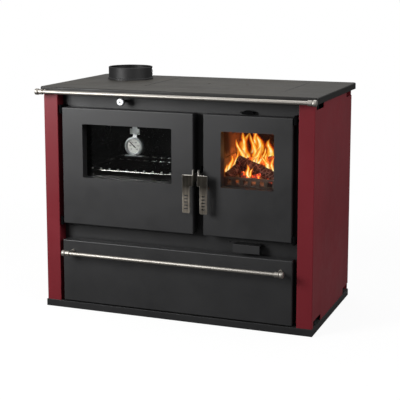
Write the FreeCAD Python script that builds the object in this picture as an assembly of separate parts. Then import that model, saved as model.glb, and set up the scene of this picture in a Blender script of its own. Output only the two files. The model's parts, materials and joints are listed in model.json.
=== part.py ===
import FreeCAD, Part
import math
import os

# All sizes are in millimetres. X runs to the right, Y to the back and Z up from the floor.
# The origin is the middle of the underside of the base tray.

# Base tray and the plate that closes it
BASE_DEPTH = 464.0
BASE_HEIGHT = 22.0
BASE_SHEET = 3.0
BASE_LEDGE = 14.0
FLOOR_PLATE_GAP = 0.5

# Folded side panels, each with a square post at the front and vents at its corners
PANEL_INSET = 2.0
PANEL_SHEET = 2.0
PANEL_BEND = 2.5
POST_WIDTH = 49.0
POST_SETBACK = 4.0
REAR_FLANGE = 25.0
VENT_HEIGHT = 20.0
VENT_LENGTH = 85.0
VENT_LAND = 15.0
REAR_VENT_LENGTH = 72.0
SHIELD_SHEET = 2.0
SHIELD_GAP = 17.0

# Rear panel, its air slots and its screws
REAR_SHEET = 2.0
REAR_MARGIN = 4.0
REAR_SIDE_INSET = 6.0
REAR_SLOT_LENGTH = 44.0
REAR_SLOT_HEIGHT = 7.0
REAR_SLOT_PITCH = 62.0
REAR_SLOT_COUNT = 12
REAR_SLOT_OFFSET = 60.0
SCREW_SHANK = 4.0
SCREW_HEAD = 8.0
SCREW_HEAD_HEIGHT = 2.5
SCREW_LENGTH = 9.0
SCREW_HOLE_GAP = 0.1
SCREW_ROWS = 4
SCREW_END_MARGIN = 60.0

# Front plate, set back behind the doors, and the plate above the drawer
FRONT_RECESS = 43.0
FRONT_SHEET = 3.0
DIVIDER_GAP = 2.0
DIVIDER_SHEET = 2.0

# Cooking top with its drop-in hotplate
COOKTOP_SIDE_OVERHANG = 9.0
COOKTOP_FRONT_OVERHANG = 2.0
COOKTOP_BACK_OVERHANG = 18.0
COOKTOP_SKIRT = 20.0
COOKTOP_PLATE = 9.0
COOKTOP_RIM = 50.0
COOKTOP_CORNER = 10.0
COOKTOP_EDGE = 4.0
HOTPLATE_LEFT_MARGIN = 305.0
HOTPLATE_RIGHT_MARGIN = 140.0
HOTPLATE_FRONT_MARGIN = 134.0
HOTPLATE_BACK_MARGIN = 66.0
HOTPLATE_GAP = 1.0
HOTPLATE_CORNER = 6.0
HOTPLATE_LEDGE = 12.0
HOTPLATE_LEDGE_DEPTH = 7.0
HOTPLATE_RIB = 8.0
HOTPLATE_RIB_DEPTH = 6.0
HOTPLATE_RIB_OFFSET = 71.0
LIFT_HOLE = 10.0
LIFT_HOLE_SPACING = 130.0

# Flue collar for a round smoke pipe that slips over it
FLUE_LEFT_MARGIN = 162.0
FLUE_BACK_MARGIN = 144.0
FLUE_DIAMETER = 149.0
FLUE_WALL = 4.0
FLUE_HEIGHT = 42.0
FLUE_FOOT = 153.0
FLUE_FOOT_HEIGHT = 6.0
FLUE_FOOT_CHAMFER = 1.5
FLUE_CHAMFER = 1.0
FLUE_LUG_LENGTH = 16.0
FLUE_LUG_WIDTH = 18.0
FLUE_LUG_COUNT = 3
FLUE_BOLT = 6.0
FLUE_BOLT_HEAD = 10.0
FLUE_BOLT_HEAD_HEIGHT = 4.0
FLUE_NUT_HEIGHT = 5.0
BOLT_HOLE_GAP = 0.1

# Round rails, one along the cooking top and one along the drawer
RAIL_DIAMETER = 12.0
RAIL_WALL = 1.5
RAIL_CAP = 20.0
RAIL_CAP_LENGTH = 14.0
RAIL_CAP_EDGE = 3.0
RAIL_POST = 9.0
RAIL_SADDLE = 17.0
RAIL_SADDLE_LENGTH = 13.0
RAIL_FOOT = 11.0
RAIL_FOOT_HEIGHT = 3.0
RAIL_BORE_GAP = 0.05
TOP_RAIL_OVERHANG = 2.0
TOP_RAIL_STANDOFF = 24.0
TOP_RAIL_DROP = 14.5
DRAWER_RAIL_INSET = 15.0
DRAWER_RAIL_STANDOFF = 38.0
DRAWER_RAIL_DROP = 34.0

# Doors: a folded skin, a liner, a pane held by clips, and a rope seal
DOOR_DRAWER_GAP = 55.0
DOOR_HEIGHT = 373.0
DOOR_TOP_GAP = 44.0
DOOR_DEPTH = 31.0
DOOR_SHEET = 3.0
DOOR_EDGE = 2.5
DOOR_SIDE_GAP = 17.0
OVEN_DOOR_WIDTH = 444.0
FIRE_DOOR_WIDTH = 279.0
DOOR_MIDDLE_GAP = 33.0
MOUTH_LAP = 30.0
OVEN_WINDOW_LAP = 40.5
FIRE_WINDOW_LAP = 26.0
WINDOW_TOP_LAP = 20.0
WINDOW_HEIGHT = 171.0
WINDOW_CORNER = 5.0
REVEAL_SHEET = 2.0
LINER_SHEET = 3.0
GLASS_THICK = 4.0
GLASS_LAP = 10.0
GLASS_CORNER = 3.0
CLIP_WIDTH = 18.0
CLIP_SHEET = 2.0
CLIP_GAP = 1.0
CLIP_PAD = 10.0
CLIP_LIP = 6.0
CLIP_SHARES = (0.25, 0.75)
SEAL_WIDTH = 12.0
SEAL_OFFSET = 6.0
SEAL_GAP = 0.3

# Hinges of the doors, in the gaps beside the posts
HINGE_OFFSET = 7.0
HINGE_SETBACK = 6.0
HINGE_PIN = 5.0
HINGE_PIN_GAP = 0.05
HINGE_PIN_HEAD = 8.0
HINGE_PIN_HEAD_HEIGHT = 2.0
KNUCKLE_DIAMETER = 10.0
KNUCKLE_HEIGHT = 20.0
KNUCKLE_LEAF = 4.0
LUG_HEIGHT = 5.0
LUG_GAP = 0.3

# Lift-up latch levers on the doors and the keeper between them
LEVER_SHEET = 3.0
LEVER_STANDOFF = 29.0
LEVER_GAP_TO_MIDDLE = 7.5
LEVER_HEAD_WIDTH = 33.0
LEVER_HEAD_HEIGHT = 34.0
LEVER_GRIP_WIDTH = 25.0
LEVER_GRIP_LENGTH = 84.0
LEVER_GRIP_CORNER = 4.0
LEVER_RISE = 190.0
LEVER_EAR_RISE = 15.0
LEVER_EAR_WIDTH = 11.0
LEVER_EAR_SETBACK = 6.0
LEVER_SLOT_COUNT = 5
LEVER_SLOT_WIDTH = 13.0
LEVER_SLOT_HEIGHT = 4.0
LEVER_SLOT_CORNER = 1.8
LEVER_SLOT_PITCH = 10.0
LEVER_SLOT_MARGIN = 12.0
PIVOT_SETBACK = 16.0
PIVOT_DROP = 6.0
PIVOT_BOLT = 8.0
PIVOT_GAP = 0.05
PIVOT_HEAD = 13.0
PIVOT_HEAD_HEIGHT = 3.5
PIVOT_NUT_HEIGHT = 5.0
PIVOT_SIDE_PLAY = 0.3
HOOK_REACH = 23.0
HOOK_DEPTH = 9.0
HOOK_NOSE = 4.0
HOOK_CLEARANCE = 0.5
KEEPER_PIN = 5.0
KEEPER_PIN_OVERHANG = 1.0
KEEPER_EAR = 4.0
KEEPER_EAR_HEIGHT = 18.0
KEEPER_BASE_WIDTH = 9.0
KEEPER_BASE_HEIGHT = 32.0
KEEPER_BASE_SHEET = 3.0

# Oven with its wire rack on side runners
OVEN_BACK_GAP = 80.0
OVEN_SHEET = 2.0
RUNNER_SHEET = 1.5
RUNNER_WIDTH = 14.0
RUNNER_HEIGHT = 12.0
RUNNER_MARGIN = 20.0
RUNNER_PITCH = 66.0
RUNNER_LEVELS = 3
RUNNER_BASE = 68.0
RACK_GAP = 0.3
RACK_LEVEL = 1
RACK_SIDE_GAP = 5.0
RACK_FRONT_SETBACK = 21.0
RACK_BACK_GAP = 30.0
RACK_FRAME_WIRE = 6.0
RACK_SIDE_WIRE = 5.0
RACK_BAR_WIRE = 4.0
RACK_BAR_PITCH = 30.0

# Round thermometer hung inside the oven door's window, a little right of its middle
DIAL_DIAMETER = 60.0
DIAL_OFFSET = 7.0
DIAL_DROP = 68.0
DIAL_GLASS_GAP = 6.0
DIAL_CASE_DEPTH = 12.0
DIAL_CASE_WALL = 2.0
DIAL_PLATE = 1.0
DIAL_RECESS = 3.5
NEEDLE_LENGTH = 21.0
NEEDLE_TAIL = 8.0
NEEDLE_WIDTH = 2.4
NEEDLE_SHEET = 0.8
NEEDLE_HUB = 5.0
NEEDLE_GAP = 0.3
NEEDLE_ANGLE = 138.0
DIAL_TAB_WIDTH = 33.0
DIAL_TAB_HEIGHT = 17.0
DIAL_NECK_WIDTH = 14.0
DIAL_NECK_RISE = 7.0
DIAL_FOOT_DEPTH = 14.0
DIAL_SHEET = 1.5
HANGER_WIDTH = 16.0
HANGER_RISE = 2.0

# Firebox, its lining, grate and ash pan
FIREBOX_SHEET = 3.0
BRICK_THICK = 22.0
BRICK_TOP_GAP = 24.0
BRICK_JOINT = 1.0
BRICK_COLUMNS = 2
BRICK_ROWS = 2
BRICK_FRONT_GAP = 2.0
FIREBOX_BACK_GAP = 80.0
FIREBOX_TOP_DROP = 58.0
FIREBOX_HEADROOM = 2.0
HEARTH_STEP = 8.0
GRATE_RISE = 107.0
GRATE_THICK = 14.0
GRATE_GAP = 1.0
GRATE_LEDGE = 30.0
GRATE_LEDGE_THICK = 6.0
GRATE_BORDER = 14.0
GRATE_SLOT = 10.0
GRATE_SLOT_PITCH = 21.0
GRATE_FRONT_GAP = 16.0
FENCE_HEIGHT = 31.0
FENCE_THICK = 10.0
FENCE_SETBACK = 2.0
FENCE_BAR = 12.0
FENCE_RAIL = 8.0
FENCE_PITCH = 26.0
ASH_SHEET = 2.0
ASH_SIDE_GAP = 3.0
ASH_FRONT_GAP = 6.0
ASH_BACK_GAP = 10.0
ASH_HEIGHT = 72.0
ASH_LIP = 10.0

# Air controls, left of the fire door's middle: a tab under the door and a half-moon tab above it
AIR_SHEET = 2.0
AIR_GAP = 0.3
AIR_TRAVEL = 20.0
AIR_TAB_SHEET = 3.0
AIR_SLOT_GAP = 0.5
PRIMARY_TAB_WIDTH = 85.0
PRIMARY_TAB_HEIGHT = 26.0
PRIMARY_TAB_GAP = 7.0
PRIMARY_TAB_STANDOFF = 30.0
PRIMARY_OFFSET = 5.5
PRIMARY_SHUTTER_WIDTH = 131.0
PRIMARY_SHUTTER_DROP = 16.0
SECONDARY_TAB_WIDTH = 42.0
SECONDARY_TAB_HEIGHT = 13.0
SECONDARY_TAB_GAP = 1.0
SECONDARY_TAB_STANDOFF = 14.0
SECONDARY_OFFSET = 8.0
SECONDARY_NECK = 16.0
SECONDARY_NECK_RISE = 3.0
SECONDARY_SHUTTER_WIDTH = 90.0
SECONDARY_SHUTTER_DROP = 18.0
SHUTTER_HEIGHT = 35.0
GUIDE_HEIGHT = 4.0
GUIDE_LIP = 6.0
GUIDE_SHEET = 2.0

# Flue damper pulled by a round knob at the front
DAMPER_FLUE_GAP = 41.5
DAMPER_DROP = 20.0
DAMPER_ROD = 8.0
DAMPER_ROD_GAP = 0.05
DAMPER_KNOB = 24.0
DAMPER_KNOB_DEPTH = 12.0
DAMPER_KNOB_EDGE = 3.0
DAMPER_KNOB_REACH = 40.0
DAMPER_NECK = 15.0
DAMPER_NECK_LENGTH = 9.0
BAFFLE_OFFSET = 13.0
BAFFLE_SHEET = 2.0
DAMPER_SHEET = 2.0
DAMPER_GAP = 0.3
DAMPER_PORT_DEPTH = 90.0
DAMPER_PORT_HEIGHT = 44.0
DAMPER_PORT_LEAD = 41.0
DAMPER_LAP = 8.0
DAMPER_TAB_HEIGHT = 18.0
DAMPER_TAB_REACH = 7.0
DAMPER_TRAVEL = 80.0
DAMPER_GUIDE_HEIGHT = 14.0

# Drawer under the oven, on two floor runners
DRAWER_POST_GAP = 13.0
DRAWER_LIFT = 4.0
DRAWER_HEIGHT = 200.0
DRAWER_LAP = 14.0
DRAWER_SHEET = 2.0
DRAWER_SIDE_GAP = 8.0
DRAWER_FLOOR_GAP = 8.0
DRAWER_TOP_GAP = 12.0
DRAWER_BACK_GAP = 31.0
DRAWER_RUNNER_GAP = 0.3
DRAWER_RUNNER_WIDTH = 20.0
DRAWER_RUNNER_SHEET = 2.0
DRAWER_GUIDE_GAP = 4.0
DRAWER_GUIDE_RISE = 12.0
DRAWER_RUNNER_BACK_GAP = 30.0

# Places that follow from the sizes above
X_AXIS = FreeCAD.Vector(1, 0, 0)
Y_AXIS = FreeCAD.Vector(0, 1, 0)
Z_AXIS = FreeCAD.Vector(0, 0, 1)
base_width = (
    2 * (PANEL_INSET + POST_WIDTH + DOOR_SIDE_GAP) + OVEN_DOOR_WIDTH + DOOR_MIDDLE_GAP + FIRE_DOOR_WIDTH
)
base_front = -BASE_DEPTH / 2
base_back = BASE_DEPTH / 2
drawer_bottom = BASE_HEIGHT + DRAWER_LIFT
drawer_top = drawer_bottom + DRAWER_HEIGHT
divider_bottom = drawer_top + DIVIDER_GAP
divider_top = divider_bottom + DIVIDER_SHEET
door_bottom = drawer_top + DOOR_DRAWER_GAP
door_top = door_bottom + DOOR_HEIGHT
body_top = door_top + DOOR_TOP_GAP
cooktop_top = body_top + COOKTOP_SKIRT
panel_x = base_width / 2 - PANEL_INSET
panel_front = base_front + POST_SETBACK
post_inner_x = panel_x - POST_WIDTH
shield_x = panel_x - PANEL_SHEET - SHIELD_GAP
rear_inner = base_back - PANEL_SHEET
screw_x = panel_x - REAR_FLANGE / 2 - PANEL_SHEET / 2
plate_front = base_front + FRONT_RECESS
plate_back = plate_front + FRONT_SHEET
cooktop_x = base_width / 2 + COOKTOP_SIDE_OVERHANG
cooktop_front = base_front - COOKTOP_FRONT_OVERHANG
cooktop_back = base_back + COOKTOP_BACK_OVERHANG
plate_underside = cooktop_top - COOKTOP_PLATE
flue_x = -cooktop_x + FLUE_LEFT_MARGIN
flue_y = cooktop_back - FLUE_BACK_MARGIN
flue_radius = FLUE_DIAMETER / 2
flue_bore = flue_radius - FLUE_WALL
flue_bolt_circle = flue_bore - FLUE_LUG_LENGTH / 2
top_rail_span = 2 * (cooktop_x + TOP_RAIL_OVERHANG)
top_rail_y = cooktop_front - TOP_RAIL_STANDOFF
top_rail_z = cooktop_top - TOP_RAIL_DROP
door_back = base_front + DOOR_DEPTH
glass_back = door_back + GLASS_THICK
hinge_y = base_front + HINGE_SETBACK
oven_x0 = -post_inner_x + DOOR_SIDE_GAP
oven_x1 = oven_x0 + OVEN_DOOR_WIDTH
fire_x1 = post_inner_x - DOOR_SIDE_GAP
fire_x0 = fire_x1 - FIRE_DOOR_WIDTH
oven_centre_x = (oven_x0 + oven_x1) / 2
fire_centre_x = (fire_x0 + fire_x1) / 2
middle_x = (oven_x1 + fire_x0) / 2
mouth_bottom = door_bottom + MOUTH_LAP
mouth_top = door_top - MOUTH_LAP
window_top = mouth_top - WINDOW_TOP_LAP
window_bottom = window_top - WINDOW_HEIGHT
lever_top = door_bottom + LEVER_RISE
pivot_y = base_front + PIVOT_SETBACK
pivot_z = lever_top - PIVOT_DROP
hook_top = pivot_z + HOOK_NOSE
keeper_z = hook_top + HOOK_CLEARANCE + KEEPER_PIN / 2
keeper_y = pivot_y + HOOK_REACH - HOOK_NOSE
keeper_pin_half = LEVER_GAP_TO_MIDDLE + LEVER_SHEET + KEEPER_PIN_OVERHANG
oven_back = rear_inner - OVEN_BACK_GAP
oven_top = mouth_top + OVEN_SHEET
runner_top = mouth_bottom + RUNNER_BASE + RACK_LEVEL * RUNNER_PITCH
rack_z = runner_top + RACK_GAP + RACK_FRAME_WIRE / 2
dial_front = glass_back + DIAL_GLASS_GAP
dial_x = oven_centre_x + DIAL_OFFSET
dial_z = window_top - DIAL_DROP
firebox_back = rear_inner - FIREBOX_BACK_GAP
hearth_top = mouth_bottom - HEARTH_STEP
grate_bottom = hearth_top + GRATE_RISE
brick_top = mouth_top - BRICK_TOP_GAP
primary_tab_bottom = drawer_top + PRIMARY_TAB_GAP
primary_x = fire_centre_x - PRIMARY_OFFSET
secondary_x = fire_centre_x - SECONDARY_OFFSET
drawer_half = post_inner_x - DRAWER_POST_GAP
drawer_box_bottom = drawer_bottom + DRAWER_LAP + DRAWER_FLOOR_GAP
drawer_box_x = drawer_half - DRAWER_LAP - DRAWER_SIDE_GAP
drawer_rail_span = 2 * (drawer_half - DRAWER_RAIL_INSET)
drawer_rail_y = base_front - DRAWER_RAIL_STANDOFF
drawer_rail_z = drawer_top - DRAWER_RAIL_DROP
damper_x = flue_x + flue_radius + DAMPER_FLUE_GAP
damper_z = body_top - DAMPER_DROP
port_y = flue_y - DAMPER_PORT_LEAD
damper_front = port_y - DAMPER_PORT_DEPTH / 2 - DAMPER_LAP
damper_knob_face = plate_front - DAMPER_KNOB_REACH
damper_knob_back = damper_knob_face + DAMPER_KNOB_DEPTH + DAMPER_NECK_LENGTH
baffle_x = damper_x - BAFFLE_OFFSET


def box(x0, x1, y0, y1, z0, z1):
    return Part.makeBox(x1 - x0, y1 - y0, z1 - z0, FreeCAD.Vector(x0, y0, z0))


def rod(x, y, z, axis, radius, length):
    return Part.makeCylinder(radius, length, FreeCAD.Vector(x, y, z), axis)


def fuse(shapes):
    return shapes[0].multiFuse(shapes[1:]).removeSplitter()


def mirrored(shape, x=0.0):
    return shape.mirror(FreeCAD.Vector(x, 0, 0), X_AXIS)


def straight_edges(shape, axis):
    """Edges of a shape that run straight along an axis."""
    lines = [edge for edge in shape.Edges if edge.Curve.TypeId == "Part::GeomLine"]
    return [edge for edge in lines if abs(edge.tangentAt(edge.FirstParameter).dot(axis)) > 1 - 1e-9]


def edges_at(edges, axis, value):
    """Those of some edges that lie whole in the plane where the axis reaches a value."""
    return [
        edge for edge in edges
        if all(abs(vertex.Point.dot(axis) - value) < 1e-6 for vertex in edge.Vertexes)
    ]


def rounded_box(x0, x1, y0, y1, z0, z1, axis, radius):
    """A box whose four edges along one axis are rounded."""
    block = box(x0, x1, y0, y1, z0, z1)
    return block.makeFillet(radius, straight_edges(block, axis))


def frame_ring(inner, outer, y0, y1, inner_radius, outer_radius):
    """A flat frame in the XZ plane between two rectangles given as x0, x1, z0, z1."""
    body = rounded_box(outer[0], outer[1], y0, y1, outer[2], outer[3], Y_AXIS, outer_radius)
    hole = rounded_box(inner[0], inner[1], y0, y1, inner[2], inner[3], Y_AXIS, inner_radius)
    return body.cut(hole)


def grown(rectangle, margin):
    return (rectangle[0] - margin, rectangle[1] + margin, rectangle[2] - margin, rectangle[3] + margin)


oven_door = (oven_x0, oven_x1, door_bottom, door_top)
fire_door = (fire_x0, fire_x1, door_bottom, door_top)
oven_mouth = grown(oven_door, -MOUTH_LAP)
fire_mouth = grown(fire_door, -MOUTH_LAP)
oven_window = (oven_mouth[0] + OVEN_WINDOW_LAP, oven_mouth[1] - OVEN_WINDOW_LAP, window_bottom, window_top)
fire_window = (fire_mouth[0] + FIRE_WINDOW_LAP, fire_mouth[1] - FIRE_WINDOW_LAP, window_bottom, window_top)


def base_tray():
    """Shallow tray on the floor, with a ledge inside for the floor plate."""
    x = base_width / 2
    y = BASE_DEPTH / 2
    plate_seat = BASE_HEIGHT - BASE_SHEET
    recess = box(-x + BASE_SHEET, x - BASE_SHEET, -y + BASE_SHEET, y - BASE_SHEET, plate_seat, BASE_HEIGHT)
    inset = BASE_SHEET + BASE_LEDGE
    hollow = box(-x + inset, x - inset, -y + inset, y - inset, BASE_SHEET, plate_seat)
    return box(-x, x, -y, y, 0, BASE_HEIGHT).cut([recess, hollow])


def floor_plate():
    x = base_width / 2 - BASE_SHEET - FLOOR_PLATE_GAP
    y = BASE_DEPTH / 2 - BASE_SHEET - FLOOR_PLATE_GAP
    return box(-x, x, -y, y, BASE_HEIGHT - BASE_SHEET, BASE_HEIGHT)


def screw_heights():
    first = BASE_HEIGHT + SCREW_END_MARGIN
    step = (body_top - BASE_HEIGHT - 2 * SCREW_END_MARGIN) / (SCREW_ROWS - 1)
    return [first + step * row for row in range(SCREW_ROWS)]


def screw_holes():
    radius = SCREW_SHANK / 2 + SCREW_HOLE_GAP
    start = base_back - SCREW_LENGTH
    depth = SCREW_LENGTH + REAR_SHEET
    return [
        rod(side * screw_x, start, z, Y_AXIS, radius, depth)
        for side in (-1, 1) for z in screw_heights()
    ]


def right_side_panel():
    """One sheet folded into side, square front post and rear flange."""
    skin = panel_x - PANEL_SHEET
    side = box(skin, panel_x, panel_front, base_back, BASE_HEIGHT, body_top)
    post = box(post_inner_x, panel_x, panel_front, panel_front + PANEL_SHEET, BASE_HEIGHT, body_top)
    inner = box(post_inner_x, post_inner_x + PANEL_SHEET, panel_front, plate_front, BASE_HEIGHT, body_top)
    flange = box(panel_x - REAR_FLANGE, panel_x, rear_inner, base_back, BASE_HEIGHT, body_top)
    panel = fuse([side, post, inner, flange])
    bends = edges_at(straight_edges(panel, Z_AXIS), Y_AXIS, panel_front)
    panel = panel.makeFillet(PANEL_BEND, bends)
    front_vent = panel_front + VENT_LAND
    rear_vent = base_back - REAR_VENT_LENGTH
    cuts = screw_holes()
    for z in (BASE_HEIGHT, body_top - VENT_HEIGHT):
        top = z + VENT_HEIGHT
        cuts.append(box(skin, panel_x, front_vent, front_vent + VENT_LENGTH, z, top))
        cuts.append(box(skin, panel_x, rear_vent, base_back, z, top))
    return panel.cut(cuts)


def side_heat_shields():
    """Inner side sheets that carry the top and stand behind the panels' vents."""
    right = box(shield_x - SHIELD_SHEET, shield_x, plate_back, rear_inner, BASE_HEIGHT, body_top)
    return [mirrored(right), right]


def rear_panel():
    x = panel_x - REAR_SIDE_INSET
    bottom = BASE_HEIGHT + REAR_MARGIN
    top = body_top - REAR_MARGIN
    panel = box(-x, x, base_back, base_back + REAR_SHEET, bottom, top)
    cuts = screw_holes()
    first = -REAR_SLOT_PITCH * (REAR_SLOT_COUNT - 1) / 2 - REAR_SLOT_LENGTH / 2
    for z in (bottom + REAR_SLOT_OFFSET, top - REAR_SLOT_OFFSET - REAR_SLOT_HEIGHT):
        for index in range(REAR_SLOT_COUNT):
            left = first + REAR_SLOT_PITCH * index
            cuts.append(box(
                left, left + REAR_SLOT_LENGTH, base_back, base_back + REAR_SHEET, z, z + REAR_SLOT_HEIGHT,
            ))
    return panel.cut(cuts)


def rear_panel_screws():
    outside = base_back + REAR_SHEET
    screws = []
    for side in (-1, 1):
        for z in screw_heights():
            shank = rod(side * screw_x, outside - SCREW_LENGTH, z, Y_AXIS, SCREW_SHANK / 2, SCREW_LENGTH)
            head = rod(side * screw_x, outside, z, Y_AXIS, SCREW_HEAD / 2, SCREW_HEAD_HEIGHT)
            screws.append(fuse([shank, head]))
    return screws


def front_plate():
    """Plate behind the doors, cut for the oven, the fire, the drawer, the air tabs and the damper rod."""
    x = panel_x - PANEL_SHEET
    plate = box(-x, x, plate_front, plate_back, BASE_HEIGHT, body_top)
    drawer_x = drawer_half - DRAWER_LAP
    drawer_mouth = (-drawer_x, drawer_x, drawer_bottom + DRAWER_LAP, drawer_top - DRAWER_LAP)
    slots = [primary_slot(), secondary_slot()]
    cuts = [
        box(hole[0], hole[1], plate_front, plate_back, hole[2], hole[3])
        for hole in [oven_mouth, fire_mouth, drawer_mouth] + slots
    ]
    rod_hole = DAMPER_ROD / 2 + DAMPER_ROD_GAP
    cuts.append(rod(damper_x, plate_front, damper_z, Y_AXIS, rod_hole, FRONT_SHEET))
    return plate.cut(cuts)


def divider_plate():
    x = shield_x - SHIELD_SHEET
    return box(-x, x, plate_back, rear_inner, divider_bottom, divider_top)


def hotplate_rectangle(margin):
    """Rectangle x0, x1, y0, y1 of the hotplate, grown by a margin."""
    plate = (
        -cooktop_x + HOTPLATE_LEFT_MARGIN, cooktop_x - HOTPLATE_RIGHT_MARGIN,
        cooktop_front + HOTPLATE_FRONT_MARGIN, cooktop_back - HOTPLATE_BACK_MARGIN,
    )
    return grown(plate, margin)


def flue_lugs(z0, z1):
    """Three short lugs that point inwards from the flue bore."""
    lugs = []
    inner = flue_bore - FLUE_LUG_LENGTH
    for index in range(FLUE_LUG_COUNT):
        lug = box(inner, flue_radius, -FLUE_LUG_WIDTH / 2, FLUE_LUG_WIDTH / 2, z0, z1)
        lug.rotate(FreeCAD.Vector(), Z_AXIS, 360 / FLUE_LUG_COUNT * index)
        lug.translate(FreeCAD.Vector(flue_x, flue_y, 0))
        lugs.append(lug)
    return lugs


def flue_bolt_places():
    turns = [2 * math.pi / FLUE_LUG_COUNT * index for index in range(FLUE_LUG_COUNT)]
    return [
        (flue_x + flue_bolt_circle * math.cos(turn), flue_y + flue_bolt_circle * math.sin(turn))
        for turn in turns
    ]


def flue_bolt_holes(z0, z1):
    radius = FLUE_BOLT / 2 + BOLT_HOLE_GAP
    return [rod(x, y, z0, Z_AXIS, radius, z1 - z0) for x, y in flue_bolt_places()]


def cooktop_frame():
    """Cast top with a deep rim, a ledge for the hotplate and a lugged hole for the flue."""
    x = cooktop_x
    top = rounded_box(
        -x, x, cooktop_front, cooktop_back, body_top, cooktop_top, Z_AXIS, COOKTOP_CORNER,
    )
    top = top.makeFillet(COOKTOP_EDGE, edges_at(top.Edges, Z_AXIS, cooktop_top))
    pocket = box(
        -x + COOKTOP_RIM, x - COOKTOP_RIM, cooktop_front + COOKTOP_RIM, cooktop_back - COOKTOP_RIM,
        body_top, plate_underside,
    )
    outer = hotplate_rectangle(HOTPLATE_LEDGE)
    opening = hotplate_rectangle(HOTPLATE_GAP)
    inner = hotplate_rectangle(-HOTPLATE_LEDGE)
    ledge_bottom = plate_underside - HOTPLATE_LEDGE_DEPTH
    ledge = box(*outer, ledge_bottom, plate_underside).cut(box(*inner, ledge_bottom, plate_underside))
    seat = rounded_box(*opening, plate_underside, cooktop_top, Z_AXIS, HOTPLATE_CORNER + HOTPLATE_GAP)
    flue_hole = rod(flue_x, flue_y, plate_underside, Z_AXIS, flue_bore, COOKTOP_PLATE)
    flue_hole = flue_hole.cut(flue_lugs(plate_underside, cooktop_top))
    frame = fuse([top.cut(pocket), ledge]).cut([seat, flue_hole])
    return frame.cut(flue_bolt_holes(plate_underside, cooktop_top))


def hotplate():
    """Drop-in plate with two lifting holes and stiffening ribs under it."""
    plate = rounded_box(
        *hotplate_rectangle(0), plate_underside, cooktop_top, Z_AXIS, HOTPLATE_CORNER,
    )
    x0, x1, y0, y1 = hotplate_rectangle(-HOTPLATE_LEDGE - HOTPLATE_GAP)
    centre_x = (x0 + x1) / 2
    centre_y = (y0 + y1) / 2
    rib_bottom = plate_underside - HOTPLATE_RIB_DEPTH
    half = HOTPLATE_RIB / 2
    ribs = [
        box(x0, x1, y - half, y + half, rib_bottom, plate_underside)
        for y in (centre_y - HOTPLATE_RIB_OFFSET, centre_y + HOTPLATE_RIB_OFFSET)
    ]
    ribs.append(box(centre_x - half, centre_x + half, y0, y1, rib_bottom, plate_underside))
    holes = [
        rod(x, centre_y, plate_underside, Z_AXIS, LIFT_HOLE / 2, COOKTOP_PLATE)
        for x in (centre_x - LIFT_HOLE_SPACING / 2, centre_x + LIFT_HOLE_SPACING / 2)
    ]
    return fuse([plate] + ribs).cut(holes)


def flue_collar():
    """Round spigot on a wider foot, bolted down through three lugs inside its bore."""
    spigot = rod(flue_x, flue_y, cooktop_top, Z_AXIS, flue_radius, FLUE_HEIGHT)
    rim = edges_at(spigot.Edges, Z_AXIS, cooktop_top + FLUE_HEIGHT)
    spigot = spigot.makeChamfer(FLUE_CHAMFER, rim)
    foot = rod(flue_x, flue_y, cooktop_top, Z_AXIS, FLUE_FOOT / 2, FLUE_FOOT_HEIGHT)
    foot_top = edges_at(foot.Edges, Z_AXIS, cooktop_top + FLUE_FOOT_HEIGHT)
    foot = foot.makeChamfer(FLUE_FOOT_CHAMFER, foot_top)
    bore = rod(flue_x, flue_y, cooktop_top, Z_AXIS, flue_bore, FLUE_HEIGHT)
    lug_top = cooktop_top + FLUE_FOOT_HEIGHT
    collar = fuse([fuse([spigot, foot]).cut(bore)] + flue_lugs(cooktop_top, lug_top))
    return collar.cut(flue_bolt_holes(cooktop_top, lug_top))


def flue_collar_bolts():
    head_seat = cooktop_top + FLUE_FOOT_HEIGHT
    nut_bottom = plate_underside - FLUE_NUT_HEIGHT
    bolts = []
    for x, y in flue_bolt_places():
        shank = rod(x, y, nut_bottom, Z_AXIS, FLUE_BOLT / 2, head_seat - nut_bottom)
        head = rod(x, y, head_seat, Z_AXIS, FLUE_BOLT_HEAD / 2, FLUE_BOLT_HEAD_HEIGHT)
        nut = rod(x, y, nut_bottom, Z_AXIS, FLUE_BOLT_HEAD / 2, FLUE_NUT_HEIGHT)
        bolts.append(fuse([shank, head, nut]))
    return bolts


def rail_tube(span, y, z):
    length = span - 2 * RAIL_CAP_LENGTH
    tube = rod(-length / 2, y, z, X_AXIS, RAIL_DIAMETER / 2, length)
    return tube.cut(rod(-length / 2, y, z, X_AXIS, RAIL_DIAMETER / 2 - RAIL_WALL, length))


def rail_caps(span, y, z):
    outer = span / 2
    cap = rod(outer - RAIL_CAP_LENGTH, y, z, X_AXIS, RAIL_CAP / 2, RAIL_CAP_LENGTH)
    cap = cap.makeFillet(RAIL_CAP_EDGE, edges_at(cap.Edges, X_AXIS, outer))
    return [mirrored(cap), cap]


def rail_posts(span, y, z, foot_y):
    """Posts beside the caps, each with a round foot and a saddle that the rail passes through."""
    saddle_end = span / 2 - RAIL_CAP_LENGTH
    x = saddle_end - RAIL_SADDLE_LENGTH / 2
    foot = rod(x, foot_y - RAIL_FOOT_HEIGHT, z, Y_AXIS, RAIL_FOOT / 2, RAIL_FOOT_HEIGHT)
    post = rod(x, y, z, Y_AXIS, RAIL_POST / 2, foot_y - y)
    saddle = rod(saddle_end - RAIL_SADDLE_LENGTH, y, z, X_AXIS, RAIL_SADDLE / 2, RAIL_SADDLE_LENGTH)
    bore = rod(
        saddle_end - RAIL_SADDLE_LENGTH, y, z, X_AXIS, RAIL_DIAMETER / 2 + RAIL_BORE_GAP, RAIL_SADDLE_LENGTH,
    )
    right = fuse([foot, post, saddle]).cut(bore)
    return [mirrored(right), right]


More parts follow.
